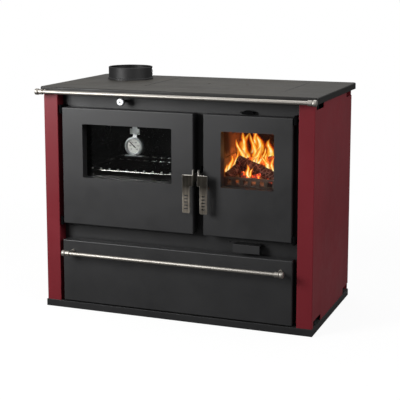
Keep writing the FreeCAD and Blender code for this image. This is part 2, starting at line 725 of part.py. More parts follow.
def folded_front(face):
    """Sheet folded back on all four sides, open behind, over a rectangle x0, x1, z0, z1."""
    block = box(face[0], face[1], base_front, door_back, face[2], face[3])
    folds = straight_edges(block, Y_AXIS) + edges_at(block.Edges, Y_AXIS, base_front)
    inner = grown(face, -DOOR_SHEET)
    hollow = box(inner[0], inner[1], base_front + DOOR_SHEET, door_back, inner[2], inner[3])
    return block.makeFillet(DOOR_EDGE, folds).cut(hollow)


def door_skin(door, window, pivot_side):
    """Folded front with a deep window reveal and a hole for the lever's pivot bolt."""
    face_back = base_front + DOOR_SHEET
    sleeve = frame_ring(
        window, grown(window, REVEAL_SHEET), face_back, door_back - LINER_SHEET,
        WINDOW_CORNER, WINDOW_CORNER + REVEAL_SHEET,
    )
    opening = rounded_box(
        window[0], window[1], base_front, face_back, window[2], window[3], Y_AXIS, WINDOW_CORNER,
    )
    edge_x = door[1] - DOOR_SHEET if pivot_side > 0 else door[0]
    bolt_hole = rod(edge_x, pivot_y, pivot_z, X_AXIS, PIVOT_BOLT / 2 + PIVOT_GAP, DOOR_SHEET)
    return fuse([folded_front(door), sleeve]).cut([opening, bolt_hole])


def door_liner(door, window):
    """Back plate of a door, with the same window cut through it."""
    inner = grown(door, -DOOR_SHEET)
    front = door_back - LINER_SHEET
    plate = box(inner[0], inner[1], front, door_back, inner[2], inner[3])
    hole = rounded_box(window[0], window[1], front, door_back, window[2], window[3], Y_AXIS, WINDOW_CORNER)
    return plate.cut(hole)


def door_glass(window):
    pane = grown(window, GLASS_LAP)
    return rounded_box(pane[0], pane[1], door_back, glass_back, pane[2], pane[3], Y_AXIS, GLASS_CORNER)


def clip_block(place, outward, near, far, y0, y1):
    """One block of a clip, from a near to a far distance outside the pane's edge."""
    half = CLIP_WIDTH / 2
    x_values = [place[0] + outward[0] * near, place[0] + outward[0] * far]
    z_values = [place[1] + outward[1] * near, place[1] + outward[1] * far]
    side_x = half * abs(outward[1])
    side_z = half * abs(outward[0])
    return box(
        min(x_values) - side_x, max(x_values) + side_x, y0, y1,
        min(z_values) - side_z, max(z_values) + side_z,
    )


def glass_clips(window):
    """Stepped clips that hold the pane to the liner, two on each edge."""
    x0, x1, z0, z1 = grown(window, GLASS_LAP)
    places = []
    for share in CLIP_SHARES:
        x = x0 + (x1 - x0) * share
        z = z0 + (z1 - z0) * share
        places += [((x0, z), (-1, 0)), ((x1, z), (1, 0)), ((x, z0), (0, -1)), ((x, z1), (0, 1))]
    lip_back = glass_back + CLIP_SHEET
    riser = CLIP_GAP + CLIP_SHEET
    clips = []
    for place, outward in places:
        pad = clip_block(place, outward, CLIP_GAP, CLIP_GAP + CLIP_PAD, door_back, door_back + CLIP_SHEET)
        wall = clip_block(place, outward, CLIP_GAP, riser, door_back, lip_back)
        lip = clip_block(place, outward, -CLIP_LIP, riser, glass_back, lip_back)
        clips.append(fuse([pad, wall, lip]))
    return clips


def door_seal(mouth):
    """Rope seal on the liner that closes against the front plate."""
    inner = grown(mouth, SEAL_OFFSET)
    outer = grown(inner, SEAL_WIDTH)
    return frame_ring(inner, outer, door_back, plate_front - SEAL_GAP, SEAL_WIDTH / 2, SEAL_WIDTH * 3 / 2)


def knuckle_ends():
    """Lowest points of the lower and of the upper hinge knuckle."""
    return (door_bottom, door_top - KNUCKLE_HEIGHT)


def door_knuckles(edge_x, side):
    """Two tubes on leaves at the hinge edge of a door, which stands to the left or right."""
    axis_x = edge_x + side * HINGE_OFFSET
    knuckles = []
    for z in knuckle_ends():
        tube = rod(axis_x, hinge_y, z, Z_AXIS, KNUCKLE_DIAMETER / 2, KNUCKLE_HEIGHT)
        leaf = box(
            min(edge_x, axis_x), max(edge_x, axis_x), hinge_y - KNUCKLE_LEAF / 2, hinge_y + KNUCKLE_LEAF / 2,
            z, z + KNUCKLE_HEIGHT,
        )
        bore = rod(axis_x, hinge_y, z, Z_AXIS, HINGE_PIN / 2 + HINGE_PIN_GAP, KNUCKLE_HEIGHT)
        knuckles.append(fuse([tube, leaf]).cut(bore))
    return knuckles


def hinge_axes():
    return (oven_x0 - HINGE_OFFSET, fire_x1 + HINGE_OFFSET)


def lug_heights():
    """Lowest points of the lower and of the upper lug, just clear of the knuckles."""
    return (door_bottom - LUG_GAP - LUG_HEIGHT, door_top + LUG_GAP)


def hinge_lugs():
    """Lugs on the front plate, below and above the knuckles of each door."""
    lugs = []
    radius = KNUCKLE_DIAMETER / 2
    for x in hinge_axes():
        for z in lug_heights():
            nose = rod(x, hinge_y, z, Z_AXIS, radius, LUG_HEIGHT)
            arm = box(x - radius, x + radius, hinge_y, plate_front, z, z + LUG_HEIGHT)
            bore = rod(x, hinge_y, z, Z_AXIS, HINGE_PIN / 2 + HINGE_PIN_GAP, LUG_HEIGHT)
            lugs.append(fuse([nose, arm]).cut(bore))
    return lugs


def hinge_pins():
    """Headed pins, pushed up through the lower lugs and down through the upper ones."""
    lower, upper = lug_heights()
    length = LUG_HEIGHT + LUG_GAP + KNUCKLE_HEIGHT
    pins = []
    for x in hinge_axes():
        low_pin = rod(x, hinge_y, lower, Z_AXIS, HINGE_PIN / 2, length)
        low_head = rod(
            x, hinge_y, lower - HINGE_PIN_HEAD_HEIGHT, Z_AXIS, HINGE_PIN_HEAD / 2, HINGE_PIN_HEAD_HEIGHT,
        )
        high_pin = rod(x, hinge_y, upper + LUG_HEIGHT - length, Z_AXIS, HINGE_PIN / 2, length)
        high_head = rod(
            x, hinge_y, upper + LUG_HEIGHT, Z_AXIS, HINGE_PIN_HEAD / 2, HINGE_PIN_HEAD_HEIGHT,
        )
        pins += [fuse([low_pin, low_head]), fuse([high_pin, high_head])]
    return pins


def lever_flange_outline(lever_front):
    """Side outline of a lever: front edge, raised ear, pivot lobe and the hook behind it."""
    head_bottom = lever_top - LEVER_HEAD_HEIGHT
    ear_front = lever_front + LEVER_EAR_SETBACK
    ear_back = ear_front + LEVER_EAR_WIDTH
    ear_top = lever_top + LEVER_EAR_RISE
    hook_end = pivot_y + HOOK_REACH
    nose_front = hook_end - HOOK_NOSE
    return [
        (lever_front, head_bottom), (ear_back, head_bottom), (pivot_y, pivot_z - HOOK_DEPTH),
        (hook_end, pivot_z - HOOK_DEPTH / 2), (hook_end, hook_top), (nose_front, hook_top),
        (nose_front - HOOK_NOSE, pivot_z), (pivot_y + PIVOT_BOLT, pivot_z),
        (pivot_y, lever_top), (ear_back, lever_top), (ear_back, ear_top), (ear_front, ear_top),
        (ear_front, lever_top), (lever_front, lever_top),
    ]


def oven_lever():
    """Bent lever: a flat head and grip in front, and a side flange with the hook in the gap."""
    lever_front = base_front - LEVER_STANDOFF
    head_x1 = middle_x - LEVER_GAP_TO_MIDDLE
    head_x0 = head_x1 - LEVER_HEAD_WIDTH
    head_bottom = lever_top - LEVER_HEAD_HEIGHT
    grip_bottom = head_bottom - LEVER_GRIP_LENGTH
    plate_y = lever_front + LEVER_SHEET
    head = box(head_x0, head_x1, lever_front, plate_y, head_bottom, lever_top)
    grip = box(head_x0, head_x0 + LEVER_GRIP_WIDTH, lever_front, plate_y, grip_bottom, head_bottom)
    low_corners = edges_at(straight_edges(grip, Y_AXIS), Z_AXIS, grip_bottom)
    grip = grip.makeFillet(LEVER_GRIP_CORNER, low_corners)
    flange_x = head_x1 - LEVER_SHEET
    corners = [FreeCAD.Vector(flange_x, y, z) for y, z in lever_flange_outline(lever_front)]
    outline = Part.makePolygon(corners + corners[:1])
    flange = Part.Face(outline).extrude(X_AXIS * LEVER_SHEET)
    lobe = rod(flange_x, pivot_y, pivot_z, X_AXIS, PIVOT_HEAD / 2, LEVER_SHEET)
    cuts = [rod(flange_x, pivot_y, pivot_z, X_AXIS, PIVOT_BOLT / 2 + PIVOT_GAP, LEVER_SHEET)]
    slot_x = head_x0 + (LEVER_GRIP_WIDTH - LEVER_SLOT_WIDTH) / 2
    for index in range(LEVER_SLOT_COUNT):
        z = grip_bottom + LEVER_SLOT_MARGIN + LEVER_SLOT_PITCH * index
        cuts.append(rounded_box(
            slot_x, slot_x + LEVER_SLOT_WIDTH, lever_front, plate_y, z, z + LEVER_SLOT_HEIGHT,
            Y_AXIS, LEVER_SLOT_CORNER,
        ))
    return fuse([head, grip, flange, lobe]).cut(cuts)


def oven_lever_bolt():
    """Shoulder bolt through the edge of the door, with the lever free between shoulder and head."""
    head_x1 = middle_x - LEVER_GAP_TO_MIDDLE
    flange_x = head_x1 - LEVER_SHEET
    edge_inside = oven_x1 - DOOR_SHEET
    nut_x = edge_inside - PIVOT_NUT_HEIGHT
    head_x = head_x1 + PIVOT_SIDE_PLAY
    shoulder = rod(oven_x1, pivot_y, pivot_z, X_AXIS, PIVOT_HEAD / 2, flange_x - PIVOT_SIDE_PLAY - oven_x1)
    head = rod(head_x, pivot_y, pivot_z, X_AXIS, PIVOT_HEAD / 2, PIVOT_HEAD_HEIGHT)
    nut = rod(nut_x, pivot_y, pivot_z, X_AXIS, PIVOT_HEAD / 2, PIVOT_NUT_HEIGHT)
    shank = rod(nut_x, pivot_y, pivot_z, X_AXIS, PIVOT_BOLT / 2, head_x + PIVOT_HEAD_HEIGHT - nut_x)
    return fuse([shoulder, head, nut, shank])


def latch_keeper():
    """Pin on an ear between the doors, which both hooks reach under."""
    base_y = plate_front - KEEPER_BASE_SHEET
    base = box(
        middle_x - KEEPER_BASE_WIDTH / 2, middle_x + KEEPER_BASE_WIDTH / 2, base_y, plate_front,
        keeper_z - KEEPER_BASE_HEIGHT / 2, keeper_z + KEEPER_BASE_HEIGHT / 2,
    )
    ear = box(
        middle_x - KEEPER_EAR / 2, middle_x + KEEPER_EAR / 2, keeper_y - KEEPER_PIN, base_y,
        keeper_z - KEEPER_EAR_HEIGHT / 2, keeper_z + KEEPER_EAR_HEIGHT / 2,
    )
    pin = rod(middle_x - keeper_pin_half, keeper_y, keeper_z, X_AXIS, KEEPER_PIN / 2, 2 * keeper_pin_half)
    return fuse([base, ear, pin])


def oven_box():
    """Five-sided oven, open at the front plate."""
    x0, x1, z0, z1 = oven_mouth
    outer = grown(oven_mouth, OVEN_SHEET)
    shell = box(outer[0], outer[1], plate_back, oven_back + OVEN_SHEET, outer[2], outer[3])
    return shell.cut(box(x0, x1, plate_back, oven_back, z0, z1))


def oven_runners():
    """Angle strips on both oven walls, at three levels."""
    x0, x1 = oven_mouth[:2]
    y0 = plate_back + RUNNER_MARGIN
    y1 = oven_back - RUNNER_MARGIN
    runners = []
    for level in range(RUNNER_LEVELS):
        top = mouth_bottom + RUNNER_BASE + RUNNER_PITCH * level
        shelf_z = top - RUNNER_SHEET
        for wall_x, inward in ((x0, 1), (x1, -1)):
            leg_x = wall_x + inward * RUNNER_SHEET
            shelf_x = wall_x + inward * RUNNER_WIDTH
            leg = box(min(wall_x, leg_x), max(wall_x, leg_x), y0, y1, top - RUNNER_HEIGHT, top)
            shelf = box(min(wall_x, shelf_x), max(wall_x, shelf_x), y0, y1, shelf_z, top)
            runners.append(fuse([leg, shelf]))
    return runners


def oven_rack():
    """Wire rack: a frame of thick wire with thinner bars from front to back."""
    x0 = oven_mouth[0] + RACK_SIDE_GAP
    x1 = oven_mouth[1] - RACK_SIDE_GAP
    y0 = plate_back + RACK_FRONT_SETBACK
    y1 = oven_back - RACK_BACK_GAP
    thick = RACK_FRAME_WIRE / 2
    wires = [rod(x0, y, rack_z, X_AXIS, thick, x1 - x0) for y in (y0, y1)]
    wires += [
        rod(x, y0, rack_z, Y_AXIS, RACK_SIDE_WIRE / 2, y1 - y0)
        for x in (x0 + RACK_FRAME_WIRE, x1 - RACK_FRAME_WIRE)
    ]
    bar_count = int((x1 - x0) / RACK_BAR_PITCH) - 1
    first = (x0 + x1) / 2 - RACK_BAR_PITCH * (bar_count - 1) / 2
    bar_z = rack_z + thick / 2
    for index in range(bar_count):
        wires.append(rod(
            first + RACK_BAR_PITCH * index, y0, bar_z, Y_AXIS, RACK_BAR_WIRE / 2, y1 - y0,
        ))
    return fuse(wires)


def thermometer_case():
    """Cup with a tab above and a foot below, hung from the door's liner by a strip behind it."""
    front = dial_front
    back = front + DIAL_CASE_DEPTH
    radius = DIAL_DIAMETER / 2
    cup = rod(dial_x, front, dial_z, Y_AXIS, radius, DIAL_CASE_DEPTH)
    hollow = rod(
        dial_x, front, dial_z, Y_AXIS, radius - DIAL_CASE_WALL, DIAL_CASE_DEPTH - DIAL_CASE_WALL,
    )
    sheet_front = back - DIAL_SHEET
    foot_z = dial_z - radius
    foot = box(
        dial_x - radius, dial_x + radius, back - DIAL_FOOT_DEPTH, back, foot_z - DIAL_SHEET,
        foot_z + DIAL_SHEET,
    )
    tab_top = dial_z + radius + DIAL_NECK_RISE + DIAL_TAB_HEIGHT
    tab = box(
        dial_x - DIAL_TAB_WIDTH / 2, dial_x + DIAL_TAB_WIDTH / 2, sheet_front, back,
        tab_top - DIAL_TAB_HEIGHT, tab_top,
    )
    neck = box(
        dial_x - DIAL_NECK_WIDTH / 2, dial_x + DIAL_NECK_WIDTH / 2, sheet_front, back,
        dial_z, tab_top,
    )
    pane_top = window_top + GLASS_LAP
    strap_top = pane_top + HANGER_RISE + DIAL_SHEET
    strap = box(
        dial_x - HANGER_WIDTH / 2, dial_x + HANGER_WIDTH / 2, sheet_front, back, tab_top,
        strap_top,
    )
    arm = box(
        dial_x - HANGER_WIDTH / 2, dial_x + HANGER_WIDTH / 2, door_back, back,
        strap_top - DIAL_SHEET, strap_top,
    )
    body = fuse([cup, neck, foot, tab, strap, arm])
    return body.cut(hollow)


def thermometer_dial():
    plate_y = dial_front + DIAL_RECESS
    back = dial_front + DIAL_CASE_DEPTH - DIAL_CASE_WALL
    radius = DIAL_DIAMETER / 2 - DIAL_CASE_WALL
    plate = rod(dial_x, plate_y, dial_z, Y_AXIS, radius, DIAL_PLATE)
    stem = rod(dial_x, plate_y, dial_z, Y_AXIS, NEEDLE_HUB, back - plate_y)
    return fuse([plate, stem])


def thermometer_needle():
    """Flat needle on a round hub, turned to its reading."""
    back = dial_front + DIAL_RECESS - NEEDLE_GAP
    front = back - NEEDLE_SHEET
    pointer = box(0, NEEDLE_LENGTH, front, back, -NEEDLE_WIDTH / 2, NEEDLE_WIDTH / 2)
    tail = box(-NEEDLE_TAIL, 0, front, back, -NEEDLE_WIDTH / 2, NEEDLE_WIDTH / 2)
    hub = rod(0, front, 0, Y_AXIS, NEEDLE_HUB / 2, NEEDLE_SHEET)
    needle = fuse([pointer, tail, hub])
    needle.rotate(FreeCAD.Vector(), Y_AXIS, -NEEDLE_ANGLE)
    needle.translate(FreeCAD.Vector(dial_x, 0, dial_z))
    return needle


def firebox_shell():
    """Steel box round the lining, with a hearth floor and ledges for the grate and bricks."""
    inner_x0 = fire_mouth[0] - BRICK_THICK
    inner_x1 = fire_mouth[1] + BRICK_THICK
    outer_x0 = inner_x0 - FIREBOX_SHEET
    outer_x1 = inner_x1 + FIREBOX_SHEET
    full_top = body_top - FIREBOX_HEADROOM
    left_top = body_top - FIREBOX_TOP_DROP
    back = firebox_back + BRICK_THICK
    left = box(outer_x0, inner_x0, plate_back, back, divider_top, left_top)
    right = box(inner_x1, outer_x1, plate_back, back, divider_top, full_top)
    rear = box(outer_x0, outer_x1, back, back + FIREBOX_SHEET, divider_top, full_top)
    hearth = box(inner_x0, inner_x1, plate_back, back, hearth_top - FIREBOX_SHEET, hearth_top)
    ledge_bottom = grate_bottom - GRATE_LEDGE_THICK
    ledges = [
        box(inner_x0, inner_x0 + GRATE_LEDGE, plate_back, back, ledge_bottom, grate_bottom),
        box(inner_x1 - GRATE_LEDGE, inner_x1, plate_back, back, ledge_bottom, grate_bottom),
        box(inner_x0, inner_x1, back - GRATE_LEDGE, back, ledge_bottom, grate_bottom),
    ]
    return fuse([left, right, rear, hearth] + ledges)


def brick_wall(x0, x1, y0, y1):
    """A wall of bricks in rows and columns, split along its longer side."""
    along_x = x1 - x0 > y1 - y0
    start, end = (x0, x1) if along_x else (y0, y1)
    width = (end - start - BRICK_JOINT * (BRICK_COLUMNS - 1)) / BRICK_COLUMNS
    height = (brick_top - grate_bottom - BRICK_JOINT * (BRICK_ROWS - 1)) / BRICK_ROWS
    bricks = []
    for row in range(BRICK_ROWS):
        z0 = grate_bottom + row * (height + BRICK_JOINT)
        for column in range(BRICK_COLUMNS):
            near = start + column * (width + BRICK_JOINT)
            far = near + width
            span = (near, far, y0, y1) if along_x else (x0, x1, near, far)
            bricks.append(box(*span, z0, z0 + height))
    return bricks


def firebricks():
    x0, x1 = fire_mouth[:2]
    back = firebox_back + BRICK_THICK
    y0 = plate_back + BRICK_FRONT_GAP
    return (
        brick_wall(x0 - BRICK_THICK, x0, y0, back)
        + brick_wall(x1, x1 + BRICK_THICK, y0, back)
        + brick_wall(x0 + BRICK_JOINT, x1 - BRICK_JOINT, firebox_back, back)
    )


def grate_span():
    return (
        fire_mouth[0] + GRATE_GAP, fire_mouth[1] - GRATE_GAP,
        plate_back + GRATE_FRONT_GAP, firebox_back - GRATE_GAP,
    )


def grate():
    """Slotted cast grate on the ledges, between the bricks."""
    x0, x1, y0, y1 = grate_span()
    top = grate_bottom + GRATE_THICK
    count = int((x1 - x0 - 2 * GRATE_BORDER + GRATE_SLOT_PITCH - GRATE_SLOT) / GRATE_SLOT_PITCH)
    first = (x0 + x1) / 2 - GRATE_SLOT_PITCH * (count - 1) / 2 - GRATE_SLOT / 2
    slots = [
        box(first + GRATE_SLOT_PITCH * index, first + GRATE_SLOT_PITCH * index + GRATE_SLOT,
            y0 + GRATE_BORDER, y1 - GRATE_BORDER, grate_bottom, top)
        for index in range(count)
    ]
    return box(x0, x1, y0, y1, grate_bottom, top).cut(slots)


def log_fence():
    """Low cast fence on the front of the grate."""
    x0, x1, y0 = grate_span()[:3]
    bottom = grate_bottom + GRATE_THICK
    top = bottom + FENCE_HEIGHT
    front = y0 + FENCE_SETBACK
    count = int((x1 - x0 - FENCE_BAR) / FENCE_PITCH)
    first = (x0 + x1) / 2 - FENCE_PITCH * (count - 1) / 2 - (FENCE_PITCH - FENCE_BAR) / 2
    gaps = [
        box(first + FENCE_PITCH * index, first + FENCE_PITCH * index + FENCE_PITCH - FENCE_BAR,
            front, front + FENCE_THICK, bottom + FENCE_RAIL, top - FENCE_RAIL)
        for index in range(count)
    ]
    return box(x0, x1, front, front + FENCE_THICK, bottom, top).cut(gaps)


def ash_pan():
    """Open pan on the hearth, with a lip to pull it by."""
    x0 = fire_mouth[0] + ASH_SIDE_GAP
    x1 = fire_mouth[1] - ASH_SIDE_GAP
    y0 = plate_back + ASH_FRONT_GAP
    y1 = firebox_back - ASH_BACK_GAP
    top = hearth_top + ASH_HEIGHT
    pan = box(x0, x1, y0, y1, hearth_top, top)
    inside = box(x0 + ASH_SHEET, x1 - ASH_SHEET, y0 + ASH_SHEET, y1 - ASH_SHEET, hearth_top + ASH_SHEET, top)
    lip = box(x0, x1, y0 - ASH_LIP, y0, top - ASH_SHEET, top)
    return fuse([pan.cut(inside), lip])


def primary_flange():
    """Rectangle x0, x1, z0, z1 of the lower tab's flange where it passes the front plate."""
    top = primary_tab_bottom + PRIMARY_TAB_HEIGHT
    half = PRIMARY_TAB_WIDTH / 2
    return (primary_x - half, primary_x + half, top - AIR_TAB_SHEET, top)


def secondary_neck():
    """Rectangle x0, x1, z0, z1 of the upper tab's neck where it passes the front plate."""
    bottom = door_top + SECONDARY_TAB_GAP + SECONDARY_NECK_RISE
    half = SECONDARY_NECK / 2
    return (secondary_x - half, secondary_x + half, bottom, bottom + AIR_TAB_SHEET)


def travel_slot(rectangle):
    x0, x1, z0, z1 = grown(rectangle, AIR_SLOT_GAP)
    return (x0 - AIR_TRAVEL, x1 + AIR_TRAVEL, z0, z1)


def primary_slot():
    return travel_slot(primary_flange())


def secondary_slot():
    return travel_slot(secondary_neck())


def primary_shutter():
    """Rectangle x0, x1, z0, z1 of the lower sliding plate, round the tab's flange."""
    bottom = primary_flange()[2] - PRIMARY_SHUTTER_DROP
    half = PRIMARY_SHUTTER_WIDTH / 2
    return (primary_x - half, primary_x + half, bottom, bottom + SHUTTER_HEIGHT)


def secondary_shutter():
    """Rectangle x0, x1, z0, z1 of the upper sliding plate, round the tab's neck."""
    bottom = secondary_neck()[2] - SECONDARY_SHUTTER_DROP
    half = SECONDARY_SHUTTER_WIDTH / 2
    return (secondary_x - half, secondary_x + half, bottom, bottom + SHUTTER_HEIGHT)


def sliding_plate(rectangle):
    """Plate close behind the front plate."""
    x0, x1, z0, z1 = rectangle
    front = plate_back + AIR_GAP
    return box(x0, x1, front, front + AIR_SHEET, z0, z1)


def primary_air_slide():
    x0, x1, z0, z1 = primary_flange()
    face_y = plate_front - PRIMARY_TAB_STANDOFF
    face = box(x0, x1, face_y, face_y + AIR_TAB_SHEET, primary_tab_bottom, z1)
    flange = box(x0, x1, face_y, plate_back + AIR_GAP + AIR_SHEET, z0, z1)
    return fuse([face, flange, sliding_plate(primary_shutter())])


def secondary_air_slide():
    """Half-moon finger tab on a neck that passes the front plate."""
    x0, x1, z0, z1 = secondary_neck()
    tab_bottom = door_top + SECONDARY_TAB_GAP
    face_y = plate_front - SECONDARY_TAB_STANDOFF
    half = SECONDARY_TAB_WIDTH / 2
    height = SECONDARY_TAB_HEIGHT
    radius = (half * half + height * height) / (2 * height)
    disc = rod(secondary_x, face_y, tab_bottom + height - radius, Y_AXIS, radius, AIR_TAB_SHEET)
    keep = box(
        secondary_x - half, secondary_x + half, face_y, face_y + AIR_TAB_SHEET,
        tab_bottom, tab_bottom + height,
    )
    neck = box(x0, x1, face_y, plate_back + AIR_GAP + AIR_SHEET, z0, z1)
    return fuse([disc.common(keep), neck, sliding_plate(secondary_shutter())])


def air_slide_guides():
    """Lipped strips behind the front plate, above and below both shutters."""
    lip_front = plate_back + AIR_GAP + AIR_SHEET + AIR_GAP
    lip_back = lip_front + GUIDE_SHEET
    guides = []
    for plate in (primary_shutter(), secondary_shutter()):
        x0 = plate[0] - AIR_TRAVEL
        x1 = plate[1] + AIR_TRAVEL
        low = plate[2] - AIR_GAP
        high = plate[3] + AIR_GAP
        guides.append(fuse([
            box(x0, x1, plate_back, lip_back, low - GUIDE_HEIGHT, low),
            box(x0, x1, lip_front, lip_back, low - GUIDE_HEIGHT, low + GUIDE_LIP),
        ]))
        guides.append(fuse([
            box(x0, x1, plate_back, lip_back, high, high + GUIDE_HEIGHT),
            box(x0, x1, lip_front, lip_back, high - GUIDE_LIP, high + GUIDE_HEIGHT),
        ]))
    return guides


def damper_port():
    """Rectangle y0, y1, z0, z1 of the port in the flue baffle."""
    half = DAMPER_PORT_DEPTH / 2
    bottom = (oven_top + body_top - DAMPER_PORT_HEIGHT) / 2
    return (port_y - half, port_y + half, bottom, bottom + DAMPER_PORT_HEIGHT)


def flue_baffle():
    """Upright plate on the oven top with the smoke port, and the strip that guides the damper."""
    y0, y1, z0, z1 = damper_port()
    plate = box(
        baffle_x - BAFFLE_SHEET, baffle_x, plate_back, cooktop_back - COOKTOP_RIM, oven_top, plate_underside,
    )
    short = box(
        baffle_x - BAFFLE_SHEET, baffle_x, oven_back + OVEN_SHEET, cooktop_back - COOKTOP_RIM,
        oven_top, body_top,
    )
    front = box(
        baffle_x - BAFFLE_SHEET, baffle_x, plate_back, cooktop_front + COOKTOP_RIM, body_top, plate_underside,
    )
    port = box(baffle_x - BAFFLE_SHEET, baffle_x, y0, y1, z0, z1)
    guide_x = baffle_x + DAMPER_GAP + DAMPER_SHEET + DAMPER_GAP
    guide = box(
        guide_x, guide_x + DAMPER_SHEET, damper_front - DAMPER_TRAVEL, y1 + DAMPER_LAP,
        oven_top, oven_top + DAMPER_GUIDE_HEIGHT,
    )
    return [plate.cut([front, port]).fuse(short).removeSplitter(), guide]


def damper_plate():
    """Sliding plate over the port, with a tab that the rod is fixed to."""
    y0, y1, z0, z1 = damper_port()
    x0 = baffle_x + DAMPER_GAP
    x1 = x0 + DAMPER_SHEET
    plate = box(x0, x1, damper_front, y1 + DAMPER_LAP, z0 - DAMPER_LAP / 2, z1 + DAMPER_LAP / 2)
    tab = box(
        x0, damper_x + DAMPER_TAB_REACH, damper_front, damper_front + DAMPER_SHEET,
        damper_z - DAMPER_TAB_HEIGHT / 2, damper_z + DAMPER_TAB_HEIGHT / 2,
    )
    return fuse([plate, tab])


def damper_rod():
    length = damper_front - damper_knob_back
    return rod(damper_x, damper_knob_back, damper_z, Y_AXIS, DAMPER_ROD / 2, length)


def damper_knob():
    head = rod(damper_x, damper_knob_face, damper_z, Y_AXIS, DAMPER_KNOB / 2, DAMPER_KNOB_DEPTH)
    head = head.makeFillet(DAMPER_KNOB_EDGE, edges_at(head.Edges, Y_AXIS, damper_knob_face))
    neck_length = damper_knob_back - damper_knob_face
    neck = rod(damper_x, damper_knob_face, damper_z, Y_AXIS, DAMPER_NECK / 2, neck_length)
    return fuse([head, neck])


def drawer_box():
    """Open box on a wide front plate that closes the back of the drawer front."""
    plate_x = drawer_half - DOOR_EDGE
    face_back = door_back + DRAWER_SHEET
    top = drawer_top - DRAWER_LAP - DRAWER_TOP_GAP
    face = box(
        -plate_x, plate_x, door_back, face_back, drawer_bottom + DOOR_EDGE, drawer_top - DOOR_EDGE,
    )
    back = rear_inner - DRAWER_BACK_GAP
    shell = box(-drawer_box_x, drawer_box_x, face_back, back, drawer_box_bottom, top)
    inside = box(
        -drawer_box_x + DRAWER_SHEET, drawer_box_x - DRAWER_SHEET, face_back, back - DRAWER_SHEET,
        drawer_box_bottom + DRAWER_SHEET, top,
    )
    return fuse([face, shell.cut(inside)])


def drawer_runners():
    """Stepped runners on the floor plate, under and beside the drawer box."""
    shelf_top = drawer_box_bottom - DRAWER_RUNNER_GAP
    web_x = drawer_box_x + DRAWER_GUIDE_GAP
    sheet = DRAWER_RUNNER_SHEET
    y1 = rear_inner - DRAWER_RUNNER_BACK_GAP
    foot = box(web_x, web_x + DRAWER_RUNNER_WIDTH, plate_back, y1, BASE_HEIGHT, BASE_HEIGHT + sheet)
    web = box(web_x, web_x + sheet, plate_back, y1, BASE_HEIGHT, drawer_box_bottom + DRAWER_GUIDE_RISE)
    shelf = box(web_x - DRAWER_RUNNER_WIDTH, web_x, plate_back, y1, shelf_top - sheet, shelf_top)
    right = fuse([foot, web, shelf])
    return [mirrored(right), right]


NODES = {
    "base_tray": base_tray(),
    "floor_plate": floor_plate(),
    "left_side_panel": mirrored(right_side_panel()),
    "right_side_panel": right_side_panel(),
    "side_heat_shields": side_heat_shields(),
    "rear_panel": rear_panel(),
    "rear_panel_screws": rear_panel_screws(),
    "front_plate": front_plate(),
    "divider_plate": divider_plate(),
    "cooktop_frame": cooktop_frame(),
    "hotplate": hotplate(),
    "flue_collar": flue_collar(),
    "flue_collar_bolts": flue_collar_bolts(),
    "top_rail": rail_tube(top_rail_span, top_rail_y, top_rail_z),
    "top_rail_posts": rail_posts(top_rail_span, top_rail_y, top_rail_z, cooktop_front),
    "top_rail_caps": rail_caps(top_rail_span, top_rail_y, top_rail_z),
    "oven_box": oven_box(),
    "oven_runners": oven_runners(),
    "oven_rack": oven_rack(),
    "flue_baffle": flue_baffle(),
    "damper_plate": damper_plate(),
    "damper_rod": damper_rod(),
    "damper_knob": damper_knob(),
    "firebox_shell": firebox_shell(),
    "firebricks": firebricks(),
    "grate": grate(),
    "log_fence": log_fence(),
    "ash_pan": ash_pan(),
    "primary_air_slide": primary_air_slide(),
    "secondary_air_slide": secondary_air_slide(),
    "air_slide_guides": air_slide_guides(),
    "hinge_lugs": hinge_lugs(),
    "hinge_pins": hinge_pins(),
    "latch_keeper": latch_keeper(),
    "oven_door_skin": door_skin(oven_door, oven_window, 1),
    "oven_door_liner": door_liner(oven_door, oven_window),
    "oven_door_glass": door_glass(oven_window),
    "oven_glass_clips": glass_clips(oven_window),
    "oven_door_seal": door_seal(oven_mouth),
    "oven_door_knuckles": door_knuckles(oven_x0, -1),
    "oven_handle_lever": oven_lever(),
    "oven_handle_bolt": oven_lever_bolt(),
    "thermometer_case": thermometer_case(),
    "thermometer_dial": thermometer_dial(),
    "thermometer_needle": thermometer_needle(),
    "fire_door_skin": door_skin(fire_door, fire_window, -1),
    "fire_door_liner": door_liner(fire_door, fire_window),
    "fire_door_glass": door_glass(fire_window),
    "fire_glass_clips": glass_clips(fire_window),
    "fire_door_seal": door_seal(fire_mouth),
    "fire_door_knuckles": door_knuckles(fire_x1, 1),
    "fire_handle_lever": mirrored(oven_lever(), middle_x),
    "fire_handle_bolt": mirrored(oven_lever_bolt(), middle_x),
    "drawer_front": folded_front((-drawer_half, drawer_half, drawer_bottom, drawer_top)),
    "drawer_box": drawer_box(),
    "drawer_rail": rail_tube(drawer_rail_span, drawer_rail_y, drawer_rail_z),
    "drawer_rail_posts": rail_posts(drawer_rail_span, drawer_rail_y, drawer_rail_z, base_front),
    "drawer_rail_caps": rail_caps(drawer_rail_span, drawer_rail_y, drawer_rail_z),
    "drawer_runners": drawer_runners(),
}

os.makedirs("parts", exist_ok=True)
for name, shape in NODES.items():
    solids = shape if isinstance(shape, list) else shape.Solids
    whole = solids[0] if len(solids) == 1 else Part.makeCompound(solids)
    whole.exportStep("parts/" + name + ".step")
    print(name, len(solids), "solids", round(whole.Volume / 1000, 2), "cm3", whole.isValid())
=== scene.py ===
# %% [markdown]
# # A wood-burning cookstove
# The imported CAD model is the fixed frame: every sheet, rail, door and brick is already at its
# real size and place, in metres. This lesson gives each of them a finish, rounds the edges that
# catch the light, and adds what CAD leaves out: the fire, the twist of the rope seals, the round
# wires of the oven rack and the print on the dial.

# %% Load the frame
import json
import math
import random

